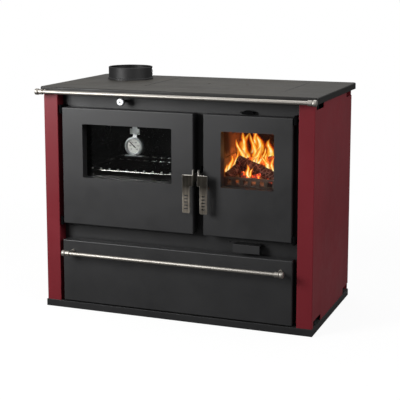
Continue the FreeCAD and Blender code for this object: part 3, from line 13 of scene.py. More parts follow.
import bmesh
import bpy
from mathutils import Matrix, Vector


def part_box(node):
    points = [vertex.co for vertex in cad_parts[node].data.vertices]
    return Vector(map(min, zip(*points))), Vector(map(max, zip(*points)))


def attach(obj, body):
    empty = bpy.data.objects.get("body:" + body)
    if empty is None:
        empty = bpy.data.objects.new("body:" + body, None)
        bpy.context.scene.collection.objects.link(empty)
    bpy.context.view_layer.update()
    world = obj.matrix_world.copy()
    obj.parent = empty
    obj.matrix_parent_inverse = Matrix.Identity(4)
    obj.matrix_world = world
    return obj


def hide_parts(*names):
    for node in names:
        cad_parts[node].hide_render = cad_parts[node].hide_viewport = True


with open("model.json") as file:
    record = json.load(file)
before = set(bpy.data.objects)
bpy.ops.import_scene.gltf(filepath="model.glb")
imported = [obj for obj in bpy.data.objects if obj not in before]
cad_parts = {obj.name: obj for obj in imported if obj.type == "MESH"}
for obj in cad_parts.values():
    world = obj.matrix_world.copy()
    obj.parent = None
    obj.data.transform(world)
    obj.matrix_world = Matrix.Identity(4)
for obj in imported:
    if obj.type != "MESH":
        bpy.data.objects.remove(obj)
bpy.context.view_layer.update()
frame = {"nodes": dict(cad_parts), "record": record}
nodes = frame["nodes"]

# %% [markdown]
# ## The camera
# The photograph was taken a little to the right of the stove and from above its top, with a
# long lens. A camera could be placed by eye, but fitting it to the stove's corners gives the
# place, the turn and the dip directly. The small shift keeps the upright edges nearly upright.

# %% Camera
PHOTO_SIDE = 400
FOCAL_PIXELS = 1075.7
CAMERA_PLACE = (1.235, -3.225, 1.063)
CAMERA_TURN = math.radians(20.95)
CAMERA_DIP = math.radians(8.66)
CAMERA_SHIFT = -0.15

camera_data = bpy.data.cameras.new("camera")
camera_data.lens = camera_data.sensor_width * FOCAL_PIXELS / PHOTO_SIDE
camera_data.shift_y = CAMERA_SHIFT
camera = bpy.data.objects.new("camera", camera_data)
camera.location = CAMERA_PLACE
camera.rotation_euler = (math.pi / 2 - CAMERA_DIP, 0.0, CAMERA_TURN)
bpy.context.scene.collection.objects.link(camera)
bpy.context.scene.camera = camera
bpy.context.scene.view_settings.view_transform = "Standard"
print("lens:", round(camera_data.lens, 1), "mm")

# %% [markdown]
# ## Small helpers for nodes
# A material is a tree of nodes. Adding each node by hand takes four lines, so one helper adds a
# node, sets it up and fills its inputs, with either a plain value or another node's output.
# Colours are written as one reads them off a screen, and turned into the light that they stand for.

# %% Adding nodes
def put(tree, kind, inputs=None, **settings):
    """Adds a node; an input is given a value, or the output socket that feeds it."""
    node = tree.nodes.new("ShaderNode" + kind)
    for name, value in settings.items():
        setattr(node, name, value)
    fill(tree, node, inputs or {})
    return node


def fill(tree, node, inputs):
    for name, value in inputs.items():
        if isinstance(value, bpy.types.NodeSocket):
            tree.links.new(value, node.inputs[name])
        else:
            node.inputs[name].default_value = value


def shade(red, green, blue):
    """A colour in screen values from 0 to 255, as the linear colour that Blender uses."""
    screen = [value / 255 for value in (red, green, blue)]
    linear = [v / 12.92 if v <= 0.04045 else ((v + 0.055) / 1.055) ** 2.4 for v in screen]
    return (*linear, 1.0)


print("a screen grey of 128 gives back", round(shade(128, 128, 128)[0], 2), "of the light")

# %% [markdown]
# A few nodes come up in nearly every finish: the mix of two colours, a value brought to another
# range, a sum, and the patterns of noise and cells. Each gets a short name of its own.

# %% Colours, values and places
def mix(tree, factor, first, second):
    """The colour between two colours."""
    node = put(tree, "Mix", data_type="RGBA")
    fill(tree, node, {0: factor, 6: first, 7: second})
    return node.outputs[2]


def spread(tree, value, low, high, start=0.0, end=1.0):
    """A value from start..end brought to low..high."""
    inputs = {"Value": value, "From Min": start, "From Max": end, "To Min": low, "To Max": high}
    return put(tree, "MapRange", inputs).outputs[0]


def sums(tree, operation, first, second=0.0):
    return put(tree, "Math", {0: first, 1: second}, operation=operation).outputs[0]


def noise(tree, place, scale, detail=2.0, roughness=0.5):
    inputs = {"Vector": place, "Scale": scale, "Detail": detail, "Roughness": roughness}
    return put(tree, "TexNoise", inputs).outputs[0]


def cells(tree, place, scale, feature="F1"):
    inputs = {"Vector": place, "Scale": scale}
    return put(tree, "TexVoronoi", inputs, feature=feature).outputs["Distance"]


def object_place(tree, scale=(1.0, 1.0, 1.0)):
    """The point on the piece in metres, stretched along the axes."""
    place = put(tree, "TexCoord").outputs["Object"]
    return put(tree, "Mapping", {"Vector": place, "Scale": scale}).outputs[0]


def spot_on(tree, kind="Object"):
    """The X, Y and Z of that point, or of another set of coordinates."""
    return put(tree, "SeparateXYZ", {0: put(tree, "TexCoord").outputs[kind]}).outputs


print("patterns:", noise.__name__, "and", cells.__name__)

# %% [markdown]
# ## Effects that several finishes share
# Powder grain, brushing, cast skin, smudges and soot each appear on many parts. Each is a node
# group, built once and placed in a material with its own values, so a change here reaches them all.

# %% Group helpers
def new_group(name, inputs, outputs):
    """A shader node group whose inputs and outputs are all plain values."""
    tree = bpy.data.node_groups.new(name, "ShaderNodeTree")
    for label, value in inputs.items():
        socket = tree.interface.new_socket(label, in_out="INPUT", socket_type="NodeSocketFloat")
        socket.default_value = value
    for label in outputs:
        tree.interface.new_socket(label, in_out="OUTPUT", socket_type="NodeSocketFloat")
    return tree, tree.nodes.new("NodeGroupInput").outputs, tree.nodes.new("NodeGroupOutput")


def place_group(tree, group, inputs=None):
    node = tree.nodes.new("ShaderNodeGroup")
    node.node_tree = group
    fill(tree, node, inputs or {})
    return node.outputs


print("node groups so far:", len(bpy.data.node_groups))

# %% [markdown]
# Powder paint bakes into fine grit over a longer ripple, the orange peel, and its tone changes
# slowly from place to place. Three noises of different size give all of that without a seam.

# %% Powder grain
def make_powder_grain():
    tree, given, out = new_group(
        "powder_grain", {"Grit Scale": 1500.0, "Peel Scale": 260.0}, ("Tone", "Height"))
    place = object_place(tree)
    grit = noise(tree, place, given["Grit Scale"])
    peel = noise(tree, place, given["Peel Scale"], 1.0)
    fill(tree, out, {"Tone": noise(tree, place, 4.0, 4.0), "Height": sums(tree, "ADD", grit, peel)})
    return tree


powder_grain = make_powder_grain()
print("group:", powder_grain.name)

# %% [markdown]
# Brushed steel has fine streaks along one axis. They are a noise that is drawn out: the smaller an
# axis's value, the longer the streaks along it. With all three at 1, the steel is merely mottled.

# %% Brushing
def make_brushing():
    tree, given, out = new_group(
        "brushing", {"Across X": 1.0, "Across Y": 1.0, "Across Z": 1.0, "Scale": 900.0}, ("Tone", "Height"))
    stretch = put(tree, "CombineXYZ", {axis: given["Across " + axis] for axis in "XYZ"}).outputs[0]
    line = object_place(tree, stretch)
    fill(tree, out, {
        "Tone": noise(tree, line, sums(tree, "MULTIPLY", given["Scale"], 0.2), 3.0),
        "Height": noise(tree, line, given["Scale"]),
    })
    return tree


def brushed(tree, across, scale):
    stretch = {"Across " + axis: value for axis, value in zip("XYZ", across)}
    return place_group(tree, brushing, {**stretch, "Scale": scale})


brushing = make_brushing()
print("group:", brushing.name)

# %% [markdown]
# A sand mould leaves iron with small pits and low swells. Cells give the pits, and a noise of
# about three times their size gives the swells.

# %% Cast skin
def make_cast_skin():
    tree, given, out = new_group("cast_skin", {"Pit Scale": 420.0}, ("Tone", "Height"))
    place = object_place(tree)
    pits = cells(tree, place, given["Pit Scale"])
    swell = noise(tree, place, sums(tree, "MULTIPLY", given["Pit Scale"], 0.3), 4.0)
    fill(tree, out, {"Tone": noise(tree, place, 9.0, 5.0, 0.6), "Height": sums(tree, "ADD", pits, swell)})
    return tree


cast_skin = make_cast_skin()
print("group:", cast_skin.name)

# %% [markdown]
# Hands, cloths and smoke leave their marks in patches. A smudge is a noise whose middle is drawn
# out to full contrast. Soot adds the height to such patches, because smoke blackens what it rises to.

# %% Smudges and soot
def make_smudges():
    tree, given, out = new_group("smudges", {"Scale": 18.0}, ("Smudge",))
    patch = noise(tree, object_place(tree), given["Scale"], 6.0, 0.65)
    fill(tree, out, {"Smudge": spread(tree, patch, 0.0, 1.0, 0.35, 0.65)})
    return tree


def make_soot():
    """Soot lies in patches, and more of it the higher a point is above the fire bed."""
    tree, given, out = new_group(
        "soot", {"Clean Height": 0.42, "Black Height": 0.62, "Patch Scale": 22.0}, ("Soot",))
    rise = spread(tree, spot_on(tree)["Z"], 0.0, 1.0, given["Clean Height"], given["Black Height"])
    patch = noise(tree, object_place(tree), given["Patch Scale"], 5.0, 0.6)
    both = sums(tree, "ADD", rise, sums(tree, "SUBTRACT", patch, 0.5))
    fill(tree, out, {"Soot": spread(tree, both, 0.0, 1.0, 0.1, 0.9)})
    return tree


def smudged(tree, scale, low, high):
    """A value between two others, in patches."""
    return spread(tree, place_group(tree, smudges, {"Scale": scale})["Smudge"], low, high)


smudges = make_smudges()
soot = make_soot()
print("groups:", smudges.name, soot.name)

# %% [markdown]
# ## Finishes
# Each finish is one Principled shader. What is the same all over is set on its own socket, and
# what changes over the surface comes from the groups. All of them read Object coordinates, which
# are metres here, so a grain of half a millimetre is simply a scale of about two thousand.

# %% Finish helpers
finishes = {}


def new_finish(name, plain):
    finish = bpy.data.materials.new(name + "_finish")
    finish.use_nodes = True
    tree = finish.node_tree
    shader = tree.nodes["Principled BSDF"]
    fill(tree, shader, plain)
    finishes[name] = finish
    return tree, shader


def coat(tree, shader, colour, rough, height, depth):
    """Gives the shader what changes over the surface; a depth in metres turns height into a bump."""
    normal = put(tree, "Bump", {"Height": height, "Distance": depth}).outputs[0]
    fill(tree, shader, {"Base Color": colour, "Roughness": rough, "Normal": normal})


def two_tone(tree, pattern, dark, light):
    """From dark to light over the middle of a pattern's range."""
    return mix(tree, spread(tree, pattern, 0.0, 1.0, 0.3, 0.7), dark, light)


print("materials before the finishes:", len(bpy.data.materials))

# %% [markdown]
# The casing is sprayed with stove paint: a satin dark red on the side panels and a matt charcoal on
# the doors and the drawer. The frame behind them and the plinth get a darker one, a painted shade.
# Hinges and bolts get a near black, a painted shade that sinks them into the gaps; the needle is black,
# and the dial is white. All are baked powder paints, so they share the grain and differ in colour and
# gloss. A plain colour would look like plastic; the grain breaks up the highlights.

# %% Stove paints
def painted(name, dark, light, gloss, shine, depth):
    tree, shader = new_finish(name, {"Specular IOR Level": shine})
    grain = place_group(tree, powder_grain, {"Grit Scale": 1500.0, "Peel Scale": 260.0})
    colour = two_tone(tree, grain["Tone"], dark, light)
    coat(tree, shader, colour, smudged(tree, 11.0, *gloss), grain["Height"], depth)


painted("red_paint", shade(112, 33, 40), shade(122, 38, 46), (0.36, 0.44), 0.25, 0.00002)
painted("black_paint", shade(29, 29, 30), shade(36, 36, 37), (0.42, 0.50), 0.56, 0.00003)
# The front plate, recessed behind the doors and under the top, and the plinth get a darker paint: a painted
# shade.
painted("frame_shade_black", shade(23, 23, 24), shade(29, 29, 30), (0.44, 0.52), 0.50, 0.00003)
painted("needle_black", shade(20, 20, 21), shade(30, 30, 31), (0.35, 0.45), 0.25, 0.00001)
# Near black for hinges, bolts, keeper, upper air slide and the knob's screw: a painted shade that sinks them
# into the gaps.
painted("painted_shade_black", shade(5, 5, 6), shade(9, 9, 10), (0.60, 0.70), 0.04, 0.00003)
painted("dial_white", shade(222, 221, 214), shade(232, 231, 226), (0.30, 0.40), 0.25, 0.00001)
print("finishes:", sorted(finishes))

# %% [markdown]
# The cooking top is ground cast iron: warm grey, with the streaks of the grinding wheel left in it.
# Heat and oil have darkened it in clouds, and most of all over the fire, on the right. It is made nearly
# black below the flat top, on its rounded edges, and dirt stays along the joint round the hotplate. These
# could be painted by hand, but each of them follows from the place on the top, so a mask by place is
# exact and needs no painting.

# %% Ground cast iron
HEATED_FROM = 0.20
HEATED_TO = 0.40
EDGE_DARKENING = (0.0012, 0.0003)
JOINT_DIRT = (0.0015, 0.0050)

plate_low, plate_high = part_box("hotplate")
plate_middle = (plate_low + plate_high) / 2
plate_half = (plate_high - plate_low) / 2
top_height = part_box("cooktop_frame")[1].z


def open_top(tree, spot):
    """1 on the open top, less at its edges and along the joint round the hotplate."""
    ground = spread(tree, spot["Z"], 0.0, 1.0, *(top_height - below for below in EDGE_DARKENING))
    outside = [
        sums(tree, "SUBTRACT", sums(tree, "ABSOLUTE", sums(tree, "SUBTRACT", spot[axis], middle)), half)
        for axis, middle, half in zip("XY", plate_middle, plate_half)]
    from_joint = sums(tree, "ABSOLUTE", sums(tree, "MAXIMUM", *outside))
    return sums(tree, "MULTIPLY", ground, spread(tree, from_joint, 0.20, 1.0, *JOINT_DIRT))


def ground_cast(name):
    tree, shader = new_finish(name, {"Metallic": 0.3, "Specular IOR Level": 0.5})
    skin = place_group(tree, cast_skin, {"Pit Scale": 420.0})
    streak = brushed(tree, (0.08, 1.0, 1.0), 420.0)
    worn = mix(tree, skin["Tone"], shade(44, 42, 37), shade(71, 68, 61))
    streaked = mix(tree, spread(tree, streak["Tone"], 0.0, 0.45, 0.35, 0.7), worn, shade(83, 79, 72))
    spot = spot_on(tree)
    over_fire = spread(tree, spot["X"], 0.0, 0.6, HEATED_FROM, HEATED_TO)
    darkened = sums(tree, "MAXIMUM", smudged(tree, 7.0, 0.0, 0.5), over_fire)
    used = mix(tree, darkened, streaked, shade(36, 34, 30))
    # Below the flat top and along the joint round the hotplate, the iron is made nearly black.
    colour = mix(tree, open_top(tree, spot), shade(22, 21, 20), used)
    rough = spread(tree, skin["Tone"], 0.40, 0.62, 0.3, 0.7)
    coat(tree, shader, colour, rough, sums(tree, "ADD", skin["Height"], streak["Height"]), 0.00006)


ground_cast("cast_top")
print("finishes:", sorted(finishes))

# %% [markdown]
# The flue collar, the grate and the fence are raw castings. Ash has turned the fence grey, and the
# collar's inner wall is made nearly black, up to a small distance past its bore.

# %% Raw castings
BORE_DARK_ENDS = (0.0707, 0.0715)

collar_low, collar_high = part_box("flue_collar")
collar_axis = ((collar_low.x + collar_high.x) / 2, (collar_low.y + collar_high.y) / 2, 0.0)


def inside_collar(tree):
    """1 on the inner wall of the flue collar, which is made nearly black."""
    level = object_place(tree, (1.0, 1.0, 0.0))
    far = put(tree, "VectorMath", {0: level, 1: collar_axis}, operation="DISTANCE").outputs["Value"]
    return spread(tree, far, 1.0, 0.0, *BORE_DARK_ENDS)


def raw_cast(name, dark, light, gloss, dark_place=None):
    tree, shader = new_finish(name, {"Metallic": 0.15, "Specular IOR Level": 0.4})
    skin = place_group(tree, cast_skin, {"Pit Scale": 500.0})
    iron = mix(tree, skin["Tone"], dark, light)
    if dark_place:
        iron = mix(tree, dark_place(tree), iron, shade(8, 8, 8))
    coat(tree, shader, iron, spread(tree, skin["Tone"], *gloss, 0.3, 0.7), skin["Height"], 0.00012)


raw_cast("black_cast", shade(28, 28, 29), shade(40, 40, 40), (0.42, 0.58))
raw_cast("collar_cast", shade(28, 28, 29), shade(40, 40, 40), (0.42, 0.58), inside_collar)
raw_cast("dusty_cast", shade(66, 59, 54), shade(112, 103, 96), (0.75, 0.90))
print("finishes:", sorted(finishes))

# %% [markdown]
# The oven rack is chromed wire. The welds at the front ends of its bars are rough, and the lower wires
# behind them have dulled; both are also given a pale colour, a painted highlight that makes them show
# bright. The rack is at rest in the oven, so the place of a point tells which of these it lies on.

# %% Wear of the rack
RACK_FRAME = 0.003
WELD_LENGTH = 0.006
WELD_FADE = 0.001
WIRE_TOP_FADE = (-0.0002, 0.0004)
WELD_ROUGHNESS = 0.42
WORN_ROUGHNESS = 0.26

rack_low, rack_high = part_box("oven_rack")


def rack_wear_and_highlight(tree):
    """How rough wear has left the rack: the welds at its front most, the lower wires behind them less. Where
    it passes 0.2, steel() also gives a pale painted highlight.
    """
    spot = spot_on(tree)
    weld_end = rack_low.y + WELD_LENGTH
    wire_top = rack_low.z + 2 * RACK_FRAME
    front = spread(tree, spot["Y"], 1.0, 0.0, weld_end, weld_end + WELD_FADE)
    above = spread(tree, spot["Z"], 0.0, 1.0, *(wire_top + up for up in WIRE_TOP_FADE))
    weld = sums(tree, "MULTIPLY", sums(tree, "MULTIPLY", front, above), WELD_ROUGHNESS)
    lower = sums(tree, "LESS_THAN", sums(tree, "ADD", front, above), 0.5)
    return sums(tree, "ADD", weld, sums(tree, "MULTIPLY", lower, WORN_ROUGHNESS))


print("rack:", [round(side, 3) for side in rack_high - rack_low])

# %% [markdown]
# Steel comes in five looks here: satin rails that are brushed along their length, dull zinc
# fasteners, the matt chrome of the knob, the thermometer's pressed case, and the wire of the rack.
# One function makes them all from their colours, their gloss and the way they are brushed.

# %% Steel
ALONG_X = (0.02, 1.0, 1.0)
ALL_WAYS = (1.0, 1.0, 1.0)


def steel(name, dark, light, gloss, across, scale, depth, wear_and_highlight=None):
    tree, shader = new_finish(name, {"Metallic": 1.0})
    streak = brushed(tree, across, scale)
    colour = two_tone(tree, streak["Tone"], dark, light)
    rough = smudged(tree, 30.0, *gloss)
    if wear_and_highlight:
        worn = wear_and_highlight(tree)
        # Where the wear is rough enough, a pale colour is mixed in: a painted highlight.
        colour = mix(tree, sums(tree, "GREATER_THAN", worn, 0.2), colour, shade(238, 237, 234))
        rough = sums(tree, "MAXIMUM", rough, worn)
    coat(tree, shader, colour, rough, streak["Height"], depth)


steel("rail_steel", shade(146, 142, 136), shade(172, 168, 161), (0.44, 0.52), ALONG_X, 1200.0, 0.000001)
steel("fastener_steel", shade(140, 141, 143), shade(176, 177, 178), (0.32, 0.46), ALL_WAYS, 300.0, 0.00002)
steel("knob_chrome", shade(204, 205, 208), shade(222, 223, 225), (0.40, 0.50), ALL_WAYS, 200.0, 0.000004)
steel("case_steel", shade(164, 165, 167), shade(196, 197, 198), (0.26, 0.36), ALL_WAYS, 200.0, 0.000004)
steel("rack_wire", shade(138, 134, 128), shade(174, 173, 170), (0.11, 0.18), ALL_WAYS, 120.0, 0.000002,
      rack_wear_and_highlight)
print("finishes:", sorted(finishes))

# %% [markdown]
# The door levers are brushed upright. The face of each head is painted dark, a painted shade, and all
# the cut edges are painted pale, a painted highlight; the grip keeps the steel's own mid tone. The mask
# for that comes from the place on the lever: high up, and within a third of a millimetre of its front.

# %% Lever steel
LEVER_SHADE_FROM = 0.400
LEVER_SHADE_TO = 0.436
LEVER_FACE_FADE = (0.0001, 0.0003)
ALONG_Z = (1.0, 1.0, 0.03)

lever_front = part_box("oven_handle_lever")[0].y


def lever_steel(name):
    tree, shader = new_finish(name, {"Metallic": 1.0})
    streak = brushed(tree, ALONG_Z, 900.0)
    spot = spot_on(tree)
    # high marks the head, whose face gets a painted shade; face marks the front face, and the cut edges
    # behind it get a painted highlight.
    high = spread(tree, spot["Z"], 0.0, 1.0, LEVER_SHADE_FROM, LEVER_SHADE_TO)
    face = spread(tree, spot["Y"], 1.0, 0.0, *(lever_front + deep for deep in LEVER_FACE_FADE))
    # Painted highlight for the edges, the grip's own tone, and painted shade for the head:
    painted_edge_highlight = two_tone(tree, streak["Tone"], shade(196, 192, 184), shade(214, 210, 203))
    grip = two_tone(tree, streak["Tone"], shade(134, 126, 115), shade(172, 163, 150))
    painted_head_shade = two_tone(tree, streak["Tone"], shade(54, 51, 46), shade(72, 68, 62))
    colour = mix(tree, face, painted_edge_highlight, mix(tree, high, grip, painted_head_shade))
    coat(tree, shader, colour, smudged(tree, 30.0, 0.28, 0.42), streak["Height"], 0.00003)


lever_steel("lever_steel")
print("finishes:", sorted(finishes))

# %% [markdown]
# Inside, the sheets are plain dark steel, the oven is lined with glossy enamel that carries the
# usual fine pale flecks, and the fire is lined with sandy bricks that have blackened upwards. The
# flecks are the middles of small cells, and the bricks mix two sizes of noise for sand and pores.

# %% Inner sheets, enamel and bricks
def inner_sheet(name):
    tree, shader = new_finish(name, {"Metallic": 0.55})
    skin = place_group(tree, cast_skin, {"Pit Scale": 160.0})
    smudge = place_group(tree, smudges, {"Scale": 9.0})["Smudge"]
    colour = mix(tree, smudge, shade(52, 52, 54), shade(74, 73, 72))
    coat(tree, shader, colour, spread(tree, smudge, 0.38, 0.56), skin["Height"], 0.00002)


def enamel(name):
    tree, shader = new_finish(name, {"Coat Weight": 0.4, "Coat Roughness": 0.06})
    place = object_place(tree)
    fleck = spread(tree, cells(tree, place, 260.0), 1.0, 0.0, 0.08, 0.16)
    colour = mix(tree, fleck, shade(15, 15, 18), shade(84, 86, 90))
    coat(tree, shader, colour, smudged(tree, 14.0, 0.16, 0.30), noise(tree, place, 180.0), 0.00002)


def brick(name):
    tree, shader = new_finish(name, {"Specular IOR Level": 0.2})
    place = object_place(tree)
    sand = noise(tree, place, 60.0, 6.0, 0.65)
    pores = noise(tree, place, 700.0, 3.0)
    black = place_group(tree, soot, {"Clean Height": 0.40, "Black Height": 0.53})["Soot"]
    clay = mix(tree, sand, shade(138, 112, 84), shade(190, 168, 136))
    colour = mix(tree, black, clay, shade(40, 31, 27))
    coat(tree, shader, colour, spread(tree, sand, 0.80, 0.96), sums(tree, "ADD", sand, pores), 0.0006)


inner_sheet("inner_steel")
enamel("oven_enamel")
brick("firebrick")
print("finishes:", sorted(finishes))

# %% [markdown]
# The panes are clear heat-proof glass with a trace of haze. The door seals are a soft knitted
# rope of glass fibre, grey with fine lighter fibres, and get their own twisted shape further on.

# %% Glass and rope
def pane(name):
    tree, shader = new_finish(name, {
        "Transmission Weight": 1.0, "IOR": 1.3, "Base Color": shade(247, 249, 248)})
    fill(tree, shader, {"Roughness": smudged(tree, 24.0, 0.0, 0.04)})


def rope(name):
    tree, shader = new_finish(name, {"Sheen Weight": 0.3, "Specular IOR Level": 0.2})
    place = object_place(tree)
    fibre = noise(tree, place, 1400.0, 4.0, 0.7)
    dirt = spread(tree, noise(tree, place, 40.0, 4.0), 0.0, 0.7, 0.5, 0.75)
    yarn = mix(tree, fibre, shade(120, 117, 109), shade(184, 181, 171))
    colour = mix(tree, dirt, yarn, shade(74, 69, 62))
    coat(tree, shader, colour, spread(tree, fibre, 0.85, 1.0), fibre, 0.0003)


pane("door_glass")
rope("rope_seal")
print("finishes:", sorted(finishes))

# %% [markdown]
# The imported model names each node's material by its slot in the record, so every node can be
# given its finish in one loop, through the object's own material slots. Some pieces differ from
# their slot: hinges, bolts, keeper and upper air slide are near black and the frame is darker than the
# doors, both a painted shade; the fence is grey with ash, the collar nearly black inside, and the
# thermometer's case duller than chrome.

# %% Dress the CAD nodes
OWN_FINISH = {
    # The first two finishes here are painted shade: near black for the small hardware, a darker paint for the
    # frame.
    "painted_shade_black": (
        "hinge_lugs", "hinge_pins", "oven_door_knuckles", "fire_door_knuckles", "oven_handle_bolt",
        "fire_handle_bolt", "secondary_air_slide", "latch_keeper"),
    "frame_shade_black": ("front_plate", "base_tray"),
    "dusty_cast": ("log_fence",),
    "collar_cast": ("flue_collar",),
    "case_steel": ("thermometer_case",),
}
finish_of = {name: node.material_slots[0].material.name for name, node in nodes.items()}
finish_of.update({node: finish for finish, members in OWN_FINISH.items() for node in members})
body_of = {node: body for body, members in frame["record"]["behaviour"]["bodies"].items() for node in members}

for name, node in nodes.items():
    for slot in node.material_slots:
        slot.material = finishes[finish_of[name]]
print("dressed:", len(nodes))

# %% [markdown]
# ## Modelling by hand
# New pieces are made with Blender's own operators. An operator acts on all that is selected, and
# loading the frame leaves its nodes selected, so each piece starts with a clean selection. Vertices,
# edges and faces are then picked by their place or normal.

# %% Helpers for selecting
print("selected after loading:", len(bpy.context.selected_objects))


def start():
    """Leaves edit mode and deselects everything."""
    if bpy.context.mode != "OBJECT":
        bpy.ops.object.mode_set(mode="OBJECT")
    bpy.ops.object.select_all(action="DESELECT")


def choose(piece):
    start()
    piece.select_set(True)
    bpy.context.view_layer.objects.active = piece


def edit(piece):
    """Opens a piece in edit mode, with all of it selected."""
    choose(piece)
    bpy.ops.object.mode_set(mode="EDIT")
    bpy.ops.mesh.select_mode(type="VERT")
    bpy.ops.mesh.select_all(action="SELECT")


def pick(piece, kind, test):
    """In edit mode, selects the vertices, edges or faces that pass a test."""
    bpy.ops.mesh.select_mode(type=kind)
    mesh = bmesh.from_edit_mesh(piece.data)
    for part in {"VERT": mesh.verts, "EDGE": mesh.edges, "FACE": mesh.faces}[kind]:
        part.select = test(part)
    if kind == "VERT":
        mesh.select_flush(True)
        mesh.select_flush(False)
    bmesh.update_edit_mesh(piece.data)


# %% [markdown]
# Every piece goes through the same few steps: a primitive or a copy is added and opened, modifiers
# are applied, and the faces are smoothed where they meet at less than an angle.

# %% Helpers for making a piece
def add(primitive, **settings):
    """Adds a primitive, puts its place into its mesh and opens it in edit mode."""
    start()
    primitive(**settings)
    piece = bpy.context.object
    bpy.ops.object.transform_apply()
    edit(piece)
    return piece


def copy_of(piece):
    """A copy with its own mesh, linked to the scene."""
    twin = bpy.data.objects.new(piece.name, piece.data.copy())
    bpy.context.scene.collection.objects.link(twin)
    return twin


def apply_modifiers(piece):
    choose(piece)
    for modifier in list(piece.modifiers):
        bpy.ops.object.modifier_apply(modifier=modifier.name)


def thicken(piece, thickness):
    """Gives a bare sheet its thickness, half of it to either side."""
    sheet = piece.modifiers.new("sheet", "SOLIDIFY")
    sheet.thickness = thickness
    sheet.offset = 0.0
    apply_modifiers(piece)


def smooth(piece, degrees):
    choose(piece)
    bpy.ops.object.shade_smooth_by_angle(angle=math.radians(degrees))


# %% [markdown]
# At the end a piece is settled. Its place goes into its mesh, so that patterns in metres don't slide
# on it, and it gets a name, a finish and a body to ride on, and the CAD nodes that it stands for are hidden.

# %% Settling a piece
def settle(piece, name, finish, body, stands_for=()):
    """Finishes a piece with a name, a finish and a body, and hides the CAD nodes that it stands for."""
    choose(piece)
    bpy.ops.object.transform_apply()
    piece.name = name
    piece.data.materials.clear()
    piece.data.materials.append(finishes[finish])
    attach(piece, body)
    if stands_for:
        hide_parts(*stands_for)
    print(name, len(piece.data.polygons), "faces")
    return piece


def settle_for(node, piece, ending):
    """Settles a piece in the place of a CAD node, with that node's finish and body."""
    return settle(piece, node + ending, finish_of[node], body_of[node], (node,))


print("bodies to ride on:", sorted(set(body_of.values())))

# %% [markdown]
# ## Eased edges
# No cut sheet or casting has a perfectly sharp edge, and the thin bright line along an edge is
# what makes steel look like steel. The CAD meshes are loose triangles, so a copy is merged first
# and its flat triangles are dissolved into whole faces. Its sharp edges are then selected by their
# angle and bevelled. The levers and the hotplate have tiny details that a bevel would fold over, so
# only the edges that pass a test by place are eased there: the outline of a lever's front without its
# slots, and the upper outline of the hotplate without its lifting holes. Weighted normals keep the
# flat faces flat.

# %% Where the edges of levers and hotplate are eased
ON_FACE = 0.00005
MIDDLE_OF_LEVERS = 0.0825
LEVER_SLOTS_BESIDE = (0.0185, 0.0365)
LEVER_SLOTS_UP = (0.358, 0.425)
HOTPLATE_BORDER = 0.008


def on_lever_outline(place):
    beside = abs(place.x - MIDDLE_OF_LEVERS)
    slotted = (LEVER_SLOTS_BESIDE[0] < beside < LEVER_SLOTS_BESIDE[1]
               and LEVER_SLOTS_UP[0] < place.z < LEVER_SLOTS_UP[1])
    return place.y < lever_front + ON_FACE and not slotted


def on_hotplate_outline(place):
    inside = min(place.x - plate_low.x, plate_high.x - place.x, place.y - plate_low.y, plate_high.y - place.y)
    return place.z > plate_high.z - ON_FACE and inside < HOTPLATE_BORDER


EASED_ONLY = {
    "oven_handle_lever": on_lever_outline,
    "fire_handle_lever": on_lever_outline,
    "hotplate": on_hotplate_outline,
}
print("eased in part:", sorted(EASED_ONLY))

# %% [markdown]
# The width of each bevel follows the piece: 0.4 millimetres on thin sheet, about one on cut steel
# and castings, and two on the soft edges of firebricks.

# %% Ease the edges that show
MERGE_DISTANCE = 0.000002
FLAT_ANGLE = math.radians(0.5)
SHARP_ANGLE = math.radians(50)
EASED_EDGES = {
    "base_tray": 0.0012, "primary_air_slide": 0.0008, "secondary_air_slide": 0.0004,
    "oven_handle_lever": 0.0012, "fire_handle_lever": 0.0012, "hotplate": 0.0008,
    "firebricks": 0.0022, "grate": 0.0015, "log_fence": 0.0015, "drawer_box": 0.0004,
    "ash_pan": 0.0004,
}


def eased(node, width, only=None):
    piece = copy_of(nodes[node])
    choose(piece)
    bpy.ops.mesh.customdata_custom_splitnormals_clear()
    edit(piece)
    bpy.ops.mesh.remove_doubles(threshold=MERGE_DISTANCE)
    bpy.ops.mesh.dissolve_limited(angle_limit=FLAT_ANGLE)
    pick(piece, "EDGE", lambda edge: edge.calc_face_angle() > SHARP_ANGLE and (
        only is None or all(only(vertex.co) for vertex in edge.verts)))
    bpy.ops.mesh.bevel(offset=width, segments=2, affect="EDGES", clamp_overlap=only is None)
    smooth(piece, 25)
    flat = piece.modifiers.new("flat", "WEIGHTED_NORMAL")
    flat.keep_sharp = True
    apply_modifiers(piece)
    return settle_for(node, piece, "_eased")


for node, width in EASED_EDGES.items():
    eased(node, width, EASED_ONLY.get(node))
print("eased:", len(EASED_EDGES), "nodes")

# %% [markdown]
# ## The fire
# A stove is sold by its fire, so the firebox gets a real one: split logs that have charred, glowing
# embers under them, a bed of ash on the grate and tongues of flame. What is hot gives off light by
# its heat, so one ramp of colours, from black through red to yellow, serves wood, embers and ash.

# %% Colours of heat
BLACK = (0.0, 0.0, 0.0, 1.0)
GLOW = (
    (0.0, BLACK), (0.45, BLACK), (0.62, shade(120, 14, 4)), (0.8, shade(236, 74, 12)),
    (1.0, shade(255, 190, 80)))


def ramp(tree, value, stops):
    """Colours along a value from 0 to 1."""
    node = put(tree, "ValToRGB", {0: value})
    while len(node.color_ramp.elements) < len(stops):
        node.color_ramp.elements.new(0.5)
    for element, (position, colour) in zip(node.color_ramp.elements, stops):
        element.position = position
        element.color = colour
    return node.outputs[0]


print("glow:", len(GLOW), "colours")

# %% [markdown]
# Charred wood has cracked into blocks along its length, so its cracks follow a UV map, and they glow
# where the log is hot. Embers glow in patches through a grey crust. Ash is pale flakes with a little
# heat left below. All three send their pattern of heat through the ramp into the emission socket.

